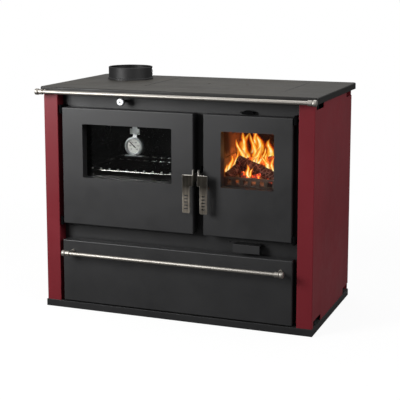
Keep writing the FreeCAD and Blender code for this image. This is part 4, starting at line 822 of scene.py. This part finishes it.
# %% Charred wood, embers and ash
def charred(name):
    tree, shader = new_finish(name, {"Specular IOR Level": 0.3, "Emission Strength": 1.3})
    place = object_place(tree)
    along = put(tree, "TexCoord").outputs["UV"]
    bark = put(tree, "Mapping", {"Vector": along, "Scale": (5.0, 26.0, 1.0)}).outputs[0]
    block = cells(tree, bark, 1.0, "DISTANCE_TO_EDGE")
    crack = spread(tree, block, 1.0, 0.0, 0.0, 0.10)
    ash_dust = noise(tree, place, 130.0, 5.0, 0.65)
    hot = spread(tree, noise(tree, place, 26.0, 3.0), 0.0, 1.0, 0.42, 0.68)
    wood = mix(tree, spread(tree, ash_dust, 0.0, 0.8, 0.5, 0.75), shade(44, 24, 23), shade(120, 80, 72))
    colour = mix(tree, sums(tree, "MULTIPLY", crack, 0.6), wood, shade(150, 112, 100))
    coat(tree, shader, colour, spread(tree, ash_dust, 0.7, 0.95), sums(tree, "ADD", block, ash_dust), 0.002)
    fill(tree, shader, {"Emission Color": ramp(tree, sums(tree, "MULTIPLY", crack, hot), GLOW)})


def glowing(name):
    tree, shader = new_finish(name, {"Specular IOR Level": 0.1, "Emission Strength": 2.2})
    place = object_place(tree)
    hot = spread(tree, noise(tree, place, 55.0, 5.0, 0.62), 0.25, 1.0, 0.3, 0.68)
    crust = noise(tree, place, 150.0, 4.0)
    colour = mix(tree, crust, shade(30, 22, 20), shade(120, 110, 104))
    coat(tree, shader, colour, spread(tree, crust, 0.8, 1.0), crust, 0.0012)
    fill(tree, shader, {"Emission Color": ramp(tree, hot, GLOW)})


def ashes(name):
    tree, shader = new_finish(name, {"Specular IOR Level": 0.1, "Emission Strength": 0.9})
    place = object_place(tree)
    flake = noise(tree, place, 240.0, 6.0, 0.7)
    drift = sums(tree, "ADD", flake, noise(tree, place, 34.0, 4.0))
    hot = spread(tree, noise(tree, place, 42.0, 3.0), 0.0, 1.0, 0.5, 0.78)
    colour = mix(tree, spread(tree, drift, 0.0, 1.0, 0.75, 1.25), shade(62, 57, 54), shade(168, 162, 156))
    coat(tree, shader, colour, spread(tree, flake, 0.85, 1.0), flake, 0.002)
    fill(tree, shader, {"Emission Color": ramp(tree, hot, GLOW)})


charred("charred_wood")
glowing("embers")
ashes("ashes")
print("finishes:", sorted(finishes))

# %% [markdown]
# A flame is hottest along its middle and at its foot, redder towards its edges, and gone at its tip.
# It could be a volume, but an exported model can't carry one. A thin leaf that only gives off light
# can, with its heat and its clearness read from a UV map that runs across the leaf and up it.

# %% Flame
FLAME_COLOURS = (
    (0.0, shade(142, 24, 0)), (0.2, shade(226, 80, 6)), (0.45, shade(255, 146, 20)),
    (0.7, shade(255, 206, 82)), (1.0, shade(255, 246, 198)))


def flaming(name):
    tree, shader = new_finish(name, {
        "Base Color": BLACK, "Specular IOR Level": 0.0, "Roughness": 1.0, "Emission Strength": 1.15})
    leaf = spot_on(tree, "UV")
    place = object_place(tree, (1.0, 1.0, 0.4))
    lick = sums(tree, "SUBTRACT", noise(tree, place, 110.0, 3.0, 0.55), 0.5)
    off_middle = sums(tree, "ABSOLUTE", sums(tree, "SUBTRACT", leaf["X"], 0.5))
    core = spread(tree, off_middle, 1.0, 0.0, 0.0, 0.5)
    body = sums(tree, "ADD", core, sums(tree, "MULTIPLY", lick, 0.9))
    heat = sums(tree, "SUBTRACT", body, sums(tree, "MULTIPLY", leaf["Y"], 0.40))
    foot = spread(tree, leaf["Y"], 0.0, 1.0, 0.0, 0.12)
    tip = spread(tree, leaf["Y"], 1.0, 0.0, 0.72, 1.0)
    ends = sums(tree, "MULTIPLY", foot, tip)
    fill(tree, shader, {
        "Emission Color": ramp(tree, spread(tree, heat, 0.0, 1.0, 0.0, 0.9), FLAME_COLOURS),
        "Alpha": sums(tree, "MULTIPLY", spread(tree, body, 0.0, 0.8, 0.06, 0.75), ends),
    })


flaming("flame")
print("finishes:", sorted(finishes))

# %% [markdown]
# The logs are split rounds: a cylinder whose ends are inset, whose sides are cut into many short
# faces, and which two Displace modifiers roughen, one for the bend of the wood and one for the
# blocks that charcoal cracks into. Two lean together in front, and two lie behind them.

# %% Logs
LOG_SIDES = 28
LOG_CUTS = 40
LOGS = (  # one end, the other end and radius
    ((0.148, -0.142, 0.452), (0.186, -0.082, 0.491), 0.0145),
    ((0.170, -0.104, 0.497), (0.300, -0.134, 0.454), 0.0160),
    ((0.156, 0.030, 0.458), (0.322, 0.072, 0.464), 0.0280),
    ((0.162, -0.058, 0.451), (0.318, -0.046, 0.452), 0.0230),
)


def roughen(piece, kind, size, depth):
    """Moves the surface in and out by a cloud or cell pattern."""
    texture = bpy.data.textures.new(piece.name + kind.lower(), kind)
    texture.noise_scale = size
    modifier = piece.modifiers.new("roughen", "DISPLACE")
    modifier.texture = texture
    modifier.strength = depth
    modifier.texture_coords = "LOCAL"
    apply_modifiers(piece)


def charred_log(low, high, radius):
    """A log along Z, turned and moved to its place by its object until it is settled."""
    axis = Vector(high) - Vector(low)
    log = add(bpy.ops.mesh.primitive_cylinder_add, vertices=LOG_SIDES, radius=radius, depth=axis.length)
    pick(log, "EDGE", lambda edge: abs(edge.verts[0].co.z - edge.verts[1].co.z) > axis.length / 2)
    bpy.ops.mesh.subdivide(number_cuts=LOG_CUTS)
    pick(log, "FACE", lambda face: len(face.verts) == LOG_SIDES)
    bpy.ops.mesh.inset(thickness=radius * 0.18, depth=-radius * 0.08)
    bpy.ops.mesh.inset(thickness=radius * 0.45, depth=radius * 0.05)
    roughen(log, "CLOUDS", 0.05, radius * 0.45)
    roughen(log, "VORONOI", 0.012, radius * 0.22)
    smooth(log, 40)
    log.location = (Vector(low) + Vector(high)) / 2
    log.rotation_euler = axis.to_track_quat("Z", "Y").to_euler()
    return log


for number, log_sizes in enumerate(LOGS, 1):
    settle(charred_log(*log_sizes), f"log_{number}", "charred_wood", "stove_body")
print("logs:", len(LOGS))

# %% [markdown]
# Ash lies on the grate as one low heap. A grid is raised in the middle with proportional editing,
# as one pulls at a cloth, and roughened. Its rim is then drawn down to the grate and closed.

# %% Ash bed
ASH_GAP = 0.004
ASH_RIM = 0.010
ASH_HEAP = 0.014
ASH_HEAP_REACH = 0.16

grate_low, grate_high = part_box("grate")
fence_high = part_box("log_fence")[1]
bed_low = Vector((grate_low.x + ASH_GAP, fence_high.y + ASH_GAP, grate_high.z))
bed_high = Vector((grate_high.x - ASH_GAP, grate_high.y - ASH_GAP, grate_high.z))
bed_middle = (bed_low + bed_high) / 2


def ash_bed():
    bed = add(bpy.ops.mesh.primitive_grid_add, x_subdivisions=48, y_subdivisions=64, size=1.0)
    bpy.ops.transform.resize(value=(bed_high.x - bed_low.x, bed_high.y - bed_low.y, 1.0))
    pick(bed, "VERT", lambda vertex: vertex.co.length < 0.004)
    bpy.ops.transform.translate(
        value=(0.0, 0.0, ASH_HEAP), use_proportional_edit=True,
        proportional_edit_falloff="SMOOTH", proportional_size=ASH_HEAP_REACH)
    roughen(bed, "CLOUDS", 0.028, 0.012)
    roughen(bed, "VORONOI", 0.009, 0.004)
    edit(bed)
    bpy.ops.mesh.select_all(action="DESELECT")
    bpy.ops.mesh.select_non_manifold()
    bpy.ops.mesh.extrude_region_move(TRANSFORM_OT_translate={"value": (0.0, 0.0, -ASH_RIM)})
    bpy.ops.transform.resize(value=(1.0, 1.0, 0.0), center_override=(0.0, 0.0, -ASH_RIM))
    bpy.ops.mesh.edge_face_add()
    smooth(bed, 50)
    bed.location = bed_middle + Vector((0.0, 0.0, ASH_RIM))
    return settle(bed, "ash_bed", "ashes", "stove_body")


print("ash bed:", [round(side, 3) for side in ash_bed().dimensions])

# %% [markdown]
# One lump of ember is shaped from a ball of triangles, and copied with its own size and turn to
# every place under the logs. The random draws are seeded, so the fire is the same in each run.

# %% Embers
EMBER_RADIUS = 0.011
EMBER_SIZES = (0.35, 0.75)
EMBER_HEAPS = (  # middle, half size and count
    ((0.202, -0.140, 0.456), (0.008, 0.007, 0.013), 9),
    ((0.240, -0.141, 0.454), (0.010, 0.007, 0.012), 10),
    ((0.281, -0.142, 0.446), (0.010, 0.006, 0.004), 5),
    ((0.236, -0.085, 0.446), (0.075, 0.035, 0.004), 16),
)

fire_dice = random.Random(7)


def ember_lump():
    lump = add(bpy.ops.mesh.primitive_ico_sphere_add, subdivisions=3, radius=EMBER_RADIUS)
    bpy.ops.transform.resize(value=(1.0, 0.8, 0.75))
    bpy.ops.transform.vertex_random(offset=0.0012, seed=3)
    roughen(lump, "VORONOI", 0.010, 0.006)
    return lump


def joined(parts):
    start()
    for part in parts:
        part.select_set(True)
    bpy.context.view_layer.objects.active = parts[0]
    bpy.ops.object.transform_apply()
    bpy.ops.object.join()
    return parts[0]


lump = ember_lump()
lumps = []
for middle, half, count in EMBER_HEAPS:
    for _ in range(count):
        twin = copy_of(lump)
        twin.location = [m + h * fire_dice.uniform(-1.0, 1.0) for m, h in zip(middle, half)]
        twin.rotation_euler = [fire_dice.uniform(0.0, math.tau) for _ in range(3)]
        twin.scale = [fire_dice.uniform(*EMBER_SIZES)] * 3
        lumps.append(twin)
bpy.data.objects.remove(lump)
settle(joined(lumps), "ember_lumps", "embers", "stove_body")
print("embers:", len(lumps), "lumps")

# %% [markdown]
# A tongue of flame is a thin leaf of hot gas. Each starts as a grid. Row by row it is narrowed to a
# point and moved along an arc from its foot, past a bend, to its tip. The tongues in front are placed
# one by one, as in the photograph, and four broad ones fill the firebox behind them.

# %% Layout of the flames
FLAMES = (  # foot, bend and tip as x and z, then y and width
    ((0.144, 0.462), (0.151, 0.488), (0.155, 0.519), -0.128, 0.018),
    ((0.152, 0.475), (0.165, 0.498), (0.171, 0.542), -0.110, 0.010),
    ((0.144, 0.462), (0.139, 0.476), (0.143, 0.492), -0.140, 0.010),
    ((0.171, 0.490), (0.166, 0.526), (0.148, 0.560), -0.070, 0.019),
    ((0.172, 0.488), (0.161, 0.534), (0.176, 0.591), -0.060, 0.024),
    ((0.190, 0.474), (0.218, 0.523), (0.185, 0.587), -0.050, 0.021),
    ((0.192, 0.510), (0.201, 0.553), (0.216, 0.592), -0.045, 0.020),
    ((0.206, 0.478), (0.231, 0.505), (0.225, 0.547), -0.070, 0.022),
    ((0.223, 0.477), (0.238, 0.509), (0.251, 0.541), -0.075, 0.014),
    ((0.200, 0.483), (0.212, 0.493), (0.226, 0.510), -0.080, 0.013),
    ((0.261, 0.464), (0.244, 0.499), (0.240, 0.520), -0.085, 0.016),
    ((0.262, 0.466), (0.249, 0.505), (0.252, 0.526), -0.080, 0.013),
    ((0.276, 0.458), (0.272, 0.485), (0.274, 0.509), -0.085, 0.014),
    ((0.215, 0.450), (0.209, 0.474), (0.206, 0.494), -0.136, 0.015),
    ((0.213, 0.452), (0.223, 0.468), (0.227, 0.484), -0.140, 0.011),
    ((0.194, 0.480), (0.180, 0.498), (0.178, 0.519), -0.065, 0.008),
    ((0.150, 0.470), (0.142, 0.515), (0.158, 0.570), 0.020, 0.034),
    ((0.182, 0.470), (0.196, 0.520), (0.178, 0.585), 0.030, 0.036),
    ((0.225, 0.470), (0.216, 0.510), (0.232, 0.550), 0.040, 0.034),
    ((0.262, 0.465), (0.252, 0.500), (0.262, 0.530), 0.030, 0.028),
)


def arc_point(foot, bend, tip, share):
    """A point on the arc from foot to tip that is pulled towards the bend."""
    rest = 1.0 - share
    return [rest * rest * f + 2 * rest * share * b + share * share * t for f, b, t in zip(foot, bend, tip)]


def flame_swell(share):
    """How wide a tongue is at a share of its height: broad low down, and pointed at its tip."""
    return max(0.03, 1.9 * math.sqrt(share + 0.06) * (1.0 - share) ** 0.9)


print("tallest tongue:", round(max(tip[1] - foot[1] for foot, _, tip, _, _ in FLAMES), 3), "m")

# %% [markdown]
# A row is picked by its place, resized to its width and moved. A slow wave sways it to the side and
# back, so no two tongues look alike. Solidify closes each to a leaf one millimetre thick, and the
# finish fades it out at its edges.

# %% Flames
FLAME_ROWS = 18
FLAME_COLUMNS = 6
FLAME_LEAF = 0.001
FLAME_SPREAD = 1.7
FLAME_SWAY = (0.16, 0.25)  # to the side and back, as shares of the width


def flame_tongue(foot, bend, tip, depth, width):
    tongue = add(
        bpy.ops.mesh.primitive_grid_add, x_subdivisions=FLAME_COLUMNS, y_subdivisions=FLAME_ROWS, size=2.0)
    sway = fire_dice.uniform(0.0, math.tau)
    for row in range(FLAME_ROWS + 1):
        share = row / FLAME_ROWS
        line = 2.0 * share - 1.0
        pick(tongue, "VERT", lambda v: abs(v.co.y - line) < 0.5 / FLAME_ROWS and v.co.z == 0.0)
        half_width = flame_swell(share) * width * FLAME_SPREAD / 2
        x, z = arc_point(foot, bend, tip, share)
        side = FLAME_SWAY[0] * width * math.sin(sway + 7.0 * share)
        back = FLAME_SWAY[1] * width * math.cos(sway + 5.0 * share)
        bpy.ops.transform.resize(value=(half_width, 1.0, 1.0), center_override=(0.0, line, 0.0))
        bpy.ops.transform.translate(value=(x + side, depth + back - line, z))
    thicken(tongue, FLAME_LEAF)
    return tongue


tongues = [flame_tongue(*numbers) for numbers in FLAMES]
settle(joined(tongues), "flames", "flame", "stove_body")
bpy.ops.object.shade_smooth()
print("flames:", len(tongues), "tongues")

# %% [markdown]
# ## Rope seals
# Each door closes on a soft rope that is glued into a groove round its liner. In CAD it is a plain
# square ring. Here one short twist of three-strand rope is modelled: a circle with three valleys,
# extruded in steps that each turn a little.

# %% One twist of rope
ROPE_SIDES = 18
ROPE_STRANDS = 3
ROPE_STEPS = 8
ROPE_VALLEY = 0.74


def rope_twist(radius, length):
    """One third of a turn of the rope, along X."""
    rope = add(
        bpy.ops.mesh.primitive_circle_add, vertices=ROPE_SIDES, radius=radius,
        rotation=(0.0, math.pi / 2, 0.0))
    lobe = math.tau / ROPE_STRANDS
    pick(rope, "VERT", lambda v: abs(math.remainder(math.atan2(v.co.z, v.co.y), lobe)) < 0.1)
    bpy.ops.transform.resize(value=(1.0, ROPE_VALLEY, ROPE_VALLEY), center_override=(0.0, 0.0, 0.0))
    bpy.ops.mesh.select_all(action="SELECT")
    for step in range(1, ROPE_STEPS + 1):
        bpy.ops.mesh.extrude_edges_move(TRANSFORM_OT_translate={"value": (length / ROPE_STEPS, 0.0, 0.0)})
        middle = (length * step / ROPE_STEPS, 0.0, 0.0)
        bpy.ops.transform.rotate(value=lobe / ROPE_STEPS, orient_axis="X", center_override=middle)
    start()
    return rope


print("turn of each step:", round(360 / ROPE_STRANDS / ROPE_STEPS, 1), "degrees")

# %% [markdown]
# The twist is repeated along the whole length by an Array modifier, and bent round a rounded
# rectangle by a Curve modifier, so that the ends of the rope meet. A rope that is modelled round the
# door at once would need its turns worked out at every corner.

# %% Rope seals
ROPE_TWIST = 0.010
ROPE_CORNER = 0.020
TWIST_JOIN = 0.0001
RING_JOIN = 0.0003


def rounded_path(width, height, corner):
    """A flat rounded rectangle as a curve, round the origin."""
    path = add(bpy.ops.mesh.primitive_plane_add, size=1.0)
    bpy.ops.transform.resize(value=(width, height, 1.0))
    bpy.ops.mesh.bevel(offset=corner, segments=8, affect="VERTICES")
    bpy.ops.mesh.delete(type="ONLY_FACE")
    bpy.ops.mesh.select_all(action="SELECT")
    bpy.ops.mesh.subdivide(number_cuts=6)
    choose(path)
    bpy.ops.object.convert(target="CURVE")
    return path


def rope_ring(node, name, body):
    low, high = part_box(node)
    radius = (high.y - low.y) / 2
    path = rounded_path(high.x - low.x - 2 * radius, high.z - low.z - 2 * radius, ROPE_CORNER)
    around = path.data.splines[0].calc_length()
    count = round(around / ROPE_TWIST)
    ring = rope_twist(radius, around / count)
    repeat = ring.modifiers.new("repeat", "ARRAY")
    repeat.count = count
    repeat.use_relative_offset = False
    repeat.use_constant_offset = True
    repeat.constant_offset_displace = (around / count, 0.0, 0.0)
    repeat.use_merge_vertices = True
    repeat.merge_threshold = TWIST_JOIN
    bend = ring.modifiers.new("bend", "CURVE")
    bend.object = path
    apply_modifiers(ring)
    bpy.data.objects.remove(path)
    edit(ring)
    bpy.ops.mesh.remove_doubles(threshold=RING_JOIN)
    bpy.ops.mesh.normals_make_consistent(inside=False)
    smooth(ring, 60)
    ring.rotation_euler = (math.pi / 2, 0.0, 0.0)
    ring.location = (low + high) / 2
    settle(ring, name, "rope_seal", body, (node,))
    return around


for door in ("oven_door", "fire_door"):
    around = rope_ring(door + "_seal", door + "_rope", door)
    print(door, "rope round:", round(around, 3), "m")

# %% [markdown]
# ## The oven rack
# A rack is bent from thick wire into a frame, and thinner bars are welded on top of it, so their ends
# show as a row of small humps. One more wire braces the bars from below. The frame is a rounded path
# given a round bevel. One bar is a cylinder with rounded ends, and the others are its copies.

# %% Oven rack
RACK_BAR = 0.0025
BAR_SEAT = 0.8  # height of a bar's middle over the frame, as a share of its radius
RACK_BRACE_Y = 0.045
RACK_PITCH = 0.030
RACK_CORNER = 0.014

rack_middle = (rack_low + rack_high) / 2
rack_width = rack_high.x - rack_low.x - 2 * RACK_FRAME
rack_depth = rack_high.y - rack_low.y - 2 * RACK_FRAME
frame_z = rack_low.z + RACK_FRAME


def rack_frame():
    frame_wire = rounded_path(rack_width, rack_depth, RACK_CORNER)
    frame_wire.location = (rack_middle.x, rack_middle.y, frame_z)
    frame_wire.data.dimensions = "3D"
    frame_wire.data.bevel_depth = RACK_FRAME
    frame_wire.data.bevel_resolution = 4
    choose(frame_wire)
    bpy.ops.object.convert(target="MESH")
    return frame_wire


def rack_bar(length):
    """A wire along Y, round the origin, with rounded ends."""
    bar = add(
        bpy.ops.mesh.primitive_cylinder_add, vertices=14, radius=RACK_BAR, depth=length,
        rotation=(math.pi / 2, 0.0, 0.0))
    pick(bar, "FACE", lambda face: abs(face.normal.y) > 0.9)
    bpy.ops.mesh.bevel(offset=RACK_BAR * 0.9, segments=4, affect="EDGES")
    start()
    return bar


bar_count = int((rack_high.x - rack_low.x) / RACK_PITCH) - 1
bars = [rack_bar(rack_depth + 2 * RACK_FRAME)]
bars += [copy_of(bars[0]) for _ in range(bar_count - 1)]
for number, bar in enumerate(bars):
    bar.location = (rack_middle.x + RACK_PITCH * (number - (bar_count - 1) / 2),
                    rack_middle.y, frame_z + RACK_FRAME + RACK_BAR * BAR_SEAT)
brace = rack_bar(rack_width)
brace.rotation_euler = (0.0, 0.0, math.pi / 2)
brace.location = (rack_middle.x, RACK_BRACE_Y, frame_z)
oven_rack = joined([rack_frame(), brace] + bars)
smooth(oven_rack, 45)
settle(oven_rack, "oven_rack_wires", "rack_wire", "stove_body", ("oven_rack",))
print("oven rack:", bar_count, "bars")

# %% [markdown]
# ## Small turned pieces
# The caps at the ends of both rails are turned from bar: a narrow neck against the post, then a drum
# with rounded shoulders and a domed end. A disc is extruded along the axis in steps and resized at
# each one, as a lathe would leave it. One cap is made, and the other three are copies.

# %% Rail caps
CAP_SIDES = 48
CAP_STEPS = (  # place along the cap and radius
    (0.0000, 0.0066), (0.0016, 0.0066), (0.0018, 0.0092), (0.0028, 0.0100),
    (0.0104, 0.0100), (0.0124, 0.0092), (0.0136, 0.0068), (0.0140, 0.0030),
)
CAP_LENGTH = CAP_STEPS[-1][0]


def turned_cap():
    """A cap along X, with its neck at the origin."""
    cap = add(
        bpy.ops.mesh.primitive_circle_add, vertices=CAP_SIDES, radius=CAP_STEPS[0][1], fill_type="NGON",
        rotation=(0.0, math.pi / 2, 0.0))
    for (last, wide), (along, radius) in zip(CAP_STEPS, CAP_STEPS[1:]):
        bpy.ops.mesh.extrude_region_move(TRANSFORM_OT_translate={"value": (along - last, 0.0, 0.0)})
        bpy.ops.transform.resize(
            value=(1.0, radius / wide, radius / wide), center_override=(along, 0.0, 0.0))
    bpy.ops.mesh.select_all(action="SELECT")
    bpy.ops.mesh.normals_make_consistent(inside=False)
    smooth(cap, 40)
    return cap


def rail_caps(node, left, right):
    low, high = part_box(node)
    middle = (low + high) / 2
    left.location = (low.x + CAP_LENGTH, middle.y, middle.z)
    left.rotation_euler = (0.0, 0.0, math.pi)
    right.location = (high.x - CAP_LENGTH, middle.y, middle.z)
    settle_for(node, joined([left, right]), "_turned")


caps = [turned_cap()]
caps += [copy_of(caps[0]) for _ in range(3)]
rail_caps("top_rail_caps", *caps[:2])
rail_caps("drawer_rail_caps", *caps[2:])
print("caps:", len(caps))

# %% [markdown]
# The damper's knob is held by a small dark screw that is sunk into the middle of its face. It starts
# as a short cylinder, and three insets of its front make the rim, the flat and the socket.

# %% Knob screw
SCREW_HEAD = 0.0026
SCREW_PROUD = 0.0006

knob_low, knob_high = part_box("damper_knob")
knob_middle = (knob_low + knob_high) / 2


def knob_screw():
    screw = add(
        bpy.ops.mesh.primitive_cylinder_add, vertices=24, radius=SCREW_HEAD, depth=2 * SCREW_PROUD,
        rotation=(math.pi / 2, 0.0, 0.0), location=(knob_middle.x, knob_low.y, knob_middle.z))
    pick(screw, "FACE", lambda face: face.normal.y < -0.9)
    bpy.ops.mesh.inset(thickness=SCREW_HEAD * 0.15, depth=SCREW_PROUD * 0.4)
    bpy.ops.mesh.inset(thickness=SCREW_HEAD * 0.40, depth=0.0)
    bpy.ops.mesh.inset(thickness=SCREW_HEAD * 0.03, depth=-SCREW_PROUD * 1.2)
    smooth(screw, 30)
    # The screw takes the near-black finish, a painted shade.
    return settle(screw, "knob_screw", "painted_shade_black", "damper")


print("knob screw:", round(knob_screw().dimensions.x, 4), "m wide")

# %% [markdown]
# ## The oven dial
# The thermometer has a white face with a printed scale inside a broad sloping bezel. The bezel is a
# circle drawn inwards and back by extruding its edge, and Solidify gives it the sheet's thickness.

# %% Dial bezel
BEZEL_FACE = 0.0225
BEZEL_SHEET = 0.0006
BEZEL_SIDES = 72
BEZEL_PROUD = 0.0033

dial_low, dial_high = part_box("thermometer_dial")
dial_middle = (dial_low + dial_high) / 2
dial_radius = (dial_high.x - dial_low.x) / 2
BEZEL_STEPS = (  # radius and depth behind the bezel's mouth
    (dial_radius - 0.0002, 0.0), (dial_radius - 0.0015, -0.0002),
    (BEZEL_FACE + 0.0012, 0.0018), (BEZEL_FACE, 0.0024))


def dial_bezel():
    mouth = Vector((dial_middle.x, dial_low.y - BEZEL_PROUD, dial_middle.z))
    ring = add(
        bpy.ops.mesh.primitive_circle_add, vertices=BEZEL_SIDES, radius=BEZEL_STEPS[0][0],
        location=mouth, rotation=(math.pi / 2, 0.0, 0.0))
    for (wide, last), (radius, deep) in zip(BEZEL_STEPS, BEZEL_STEPS[1:]):
        bpy.ops.mesh.extrude_edges_move(TRANSFORM_OT_translate={"value": (0.0, deep - last, 0.0)})
        bpy.ops.transform.resize(value=(radius / wide, 1.0, radius / wide), center_override=mouth)
    bpy.ops.mesh.select_all(action="SELECT")
    bpy.ops.mesh.normals_make_consistent(inside=False)
    thicken(ring, BEZEL_SHEET)
    smooth(ring, 30)
    return settle(ring, "dial_bezel", "case_steel", "oven_door")


print("bezel:", round(dial_bezel().dimensions.x, 4), "m wide")

# %% [markdown]
# Printing has next to no thickness, so the marks are thin solids just clear of the face: ticks
# round an arc, and plain numbers made from text that is turned into a mesh. One tick is made, and
# its copies are turned and drawn out, every fifth one longer.

# %% Dial print
DIAL_MARKS = 26
DIAL_NUMBERS = ("50", "100", "150", "200", "250", "300")
DIAL_ARC = math.radians(270)
DIAL_PRINT = 0.00012
TICK_WIDTH = 0.0007
TICK_LENGTH = BEZEL_FACE * 0.09
FIFTH_TICK_LENGTH = BEZEL_FACE * 0.16
TICK_RING = BEZEL_FACE * 0.92
NUMBER_RING = BEZEL_FACE * 0.60
NUMBER_HEIGHT = BEZEL_FACE * 0.24

print_y = dial_low.y - DIAL_PRINT


def dial_spot(share, radius):
    """A place on the dial, from the lower left round over the top to the lower right."""
    angle = math.pi / 2 + DIAL_ARC / 2 - share * DIAL_ARC
    across = radius * math.cos(angle)
    up = radius * math.sin(angle)
    return Vector((dial_middle.x + across, print_y, dial_middle.z + up)), angle


def dial_tick(tick, number):
    length = TICK_LENGTH if number % 5 else FIFTH_TICK_LENGTH
    mark = copy_of(tick)
    mark.location, angle = dial_spot(number / (DIAL_MARKS - 1), TICK_RING - length / 2)
    mark.rotation_euler = (0.0, -angle, 0.0)
    mark.scale = (length, 2 * DIAL_PRINT, TICK_WIDTH)
    return mark


def dial_number(share, words):
    start()
    spot, _ = dial_spot(share, NUMBER_RING)
    bpy.ops.object.text_add(location=spot, rotation=(math.pi / 2, 0.0, 0.0))
    number = bpy.context.object
    number.data.body = words
    number.data.size = NUMBER_HEIGHT
    number.data.extrude = DIAL_PRINT
    number.data.align_x = "CENTER"
    number.data.align_y = "CENTER"
    bpy.ops.object.convert(target="MESH")
    return bpy.context.object


tick = add(bpy.ops.mesh.primitive_cube_add, size=1.0)
start()
marks = [dial_tick(tick, number) for number in range(DIAL_MARKS)]
bpy.data.objects.remove(tick)
marks += [dial_number(i / (len(DIAL_NUMBERS) - 1), words) for i, words in enumerate(DIAL_NUMBERS)]
settle(joined(marks), "dial_print", "needle_black", "oven_door")
print("dial print:", len(marks), "marks")

# %% [markdown]
# ## The studio
# The stove stands on a plain white floor in soft light. The world fills in what the lamps leave
# dark. Seen by the camera, directly or through glass, it is white. What metal and glass mirror is
# dark low down and bright high up, so that they have something to show and the panes stay dark.

# %% World
WORLD_FILL = 0.16
MIRRORED_LOW = 0.10
MIRRORED_HIGH = 0.9


def seen_straight(tree, path):
    """1 where the camera looks at the backdrop, directly or through glass alone."""
    bounces = sums(tree, "ADD", path["Diffuse Depth"], path["Glossy Depth"])
    through_glass = sums(tree, "MULTIPLY", path["Is Transmission Ray"], sums(tree, "LESS_THAN", bounces, 0.5))
    return sums(tree, "MAXIMUM", path["Is Camera Ray"], through_glass)


world = bpy.data.worlds.new("studio")
bpy.context.scene.world = world
world.use_nodes = True
tree = world.node_tree
path = put(tree, "LightPath").outputs
mirrored_light = spread(tree, spot_on(tree, "Generated")["Z"], MIRRORED_LOW, MIRRORED_HIGH, 0.05, 0.75)
soft = put(tree, "Mix", {0: path["Is Glossy Ray"], 2: WORLD_FILL, 3: mirrored_light}).outputs[0]
strength = put(tree, "Mix", {0: seen_straight(tree, path), 2: soft, 3: 1.0}).outputs[0]
fill(tree, tree.nodes["Background"], {"Color": (1.0, 1.0, 1.0, 1.0), "Strength": strength})
print("world fill:", WORLD_FILL)

# %% [markdown]
# Four soft square lamps light the stove: the main one from the front left, a weaker one from the
# right, one overhead and one behind. Two small warm lamps in the firebox stand for the light of the
# flames, and can't be seen themselves.

# %% Lamps
FIRE_LAMP_RADIUS = 0.03


def hang(name, kind, place, power):
    lamp_data = bpy.data.lights.new(name, kind)
    lamp_data.energy = power
    lamp = bpy.data.objects.new(name, lamp_data)
    lamp.location = place
    lamp.visible_camera = False
    bpy.context.scene.collection.objects.link(lamp)
    return lamp


def softbox(name, place, target, side, power):
    lamp = hang(name, "AREA", place, power)
    lamp.data.shape = "SQUARE"
    lamp.data.size = side
    lamp.rotation_euler = (Vector(target) - Vector(place)).to_track_quat("-Z", "Y").to_euler()


def fire_lamp(name, place, colour, power):
    lamp = hang(name, "POINT", place, power)
    lamp.data.color = colour
    lamp.data.shadow_soft_size = FIRE_LAMP_RADIUS
    lamp.visible_glossy = False
    lamp.visible_transmission = False


fire_lamp("fire_lamp", (0.215, -0.02, 0.52), (1.0, 0.24, 0.04), 3.2)
fire_lamp("front_fire_lamp", (0.235, -0.184, 0.56), (1.0, 0.40, 0.21), 0.65)
softbox("key_lamp", (-1.25, -1.75, 1.15), (-0.1, -0.2, 0.62), 0.9, 46.0)
softbox("right_lamp", (2.4, -0.8, 1.5), (0.45, 0.0, 0.4), 1.2, 29.0)
softbox("top_lamp", (0.0, 0.5, 2.4), (0.0, 0.0, 0.7), 1.6, 12.0)
softbox("back_lamp", (-0.7, 2.2, 0.34), (0.0, 0.23, 0.34), 0.6, 24.0)
print("lamps:", len(bpy.data.lights))

# %% [markdown]
# The floor is a disc of pale paper that keeps the stove's shadow. A glow that only the camera sees,
# directly or through glass, lifts it to white, and towards its rim it turns wholly into that glow, so
# it has no edge. Metal sees just a trace of the glow, so the rails don't shine from below.

# %% Floor
FLOOR_RADIUS = 1.9
FLOOR_FADE = 1.0
FLOOR_PAPER = 0.10
FLOOR_GLOW = 0.92
MIRRORED_FLOOR = 0.06

start()
bpy.ops.mesh.primitive_circle_add(vertices=96, radius=FLOOR_RADIUS, fill_type="NGON")
floor = bpy.context.object
floor.name = "floor"
floor_finish = bpy.data.materials.new("floor_finish")
floor_finish.use_nodes = True
tree = floor_finish.node_tree
tree.nodes.remove(tree.nodes["Principled BSDF"])
path = put(tree, "LightPath").outputs
mirrored = sums(tree, "MULTIPLY", path["Is Glossy Ray"], MIRRORED_FLOOR)
seen = sums(tree, "MAXIMUM", seen_straight(tree, path), mirrored)
far = put(tree, "VectorMath", {0: object_place(tree)}, operation="LENGTH").outputs["Value"]
paper = put(tree, "BsdfDiffuse", {"Color": (FLOOR_PAPER, FLOOR_PAPER, FLOOR_PAPER, 1.0)}).outputs[0]
glow = put(tree, "Emission", {"Strength": sums(tree, "MULTIPLY", seen, FLOOR_GLOW)}).outputs[0]
white = put(tree, "Emission", {"Strength": seen}).outputs[0]
lit = put(tree, "AddShader", {0: paper, 1: glow}).outputs[0]
edge = spread(tree, far, 0.0, 1.0, FLOOR_FADE, FLOOR_RADIUS)
fill(tree, tree.nodes["Material Output"], {
    "Surface": put(tree, "MixShader", {0: edge, 1: lit, 2: white}).outputs[0]})
floor.data.materials.append(floor_finish)
print("floor radius:", FLOOR_RADIUS)
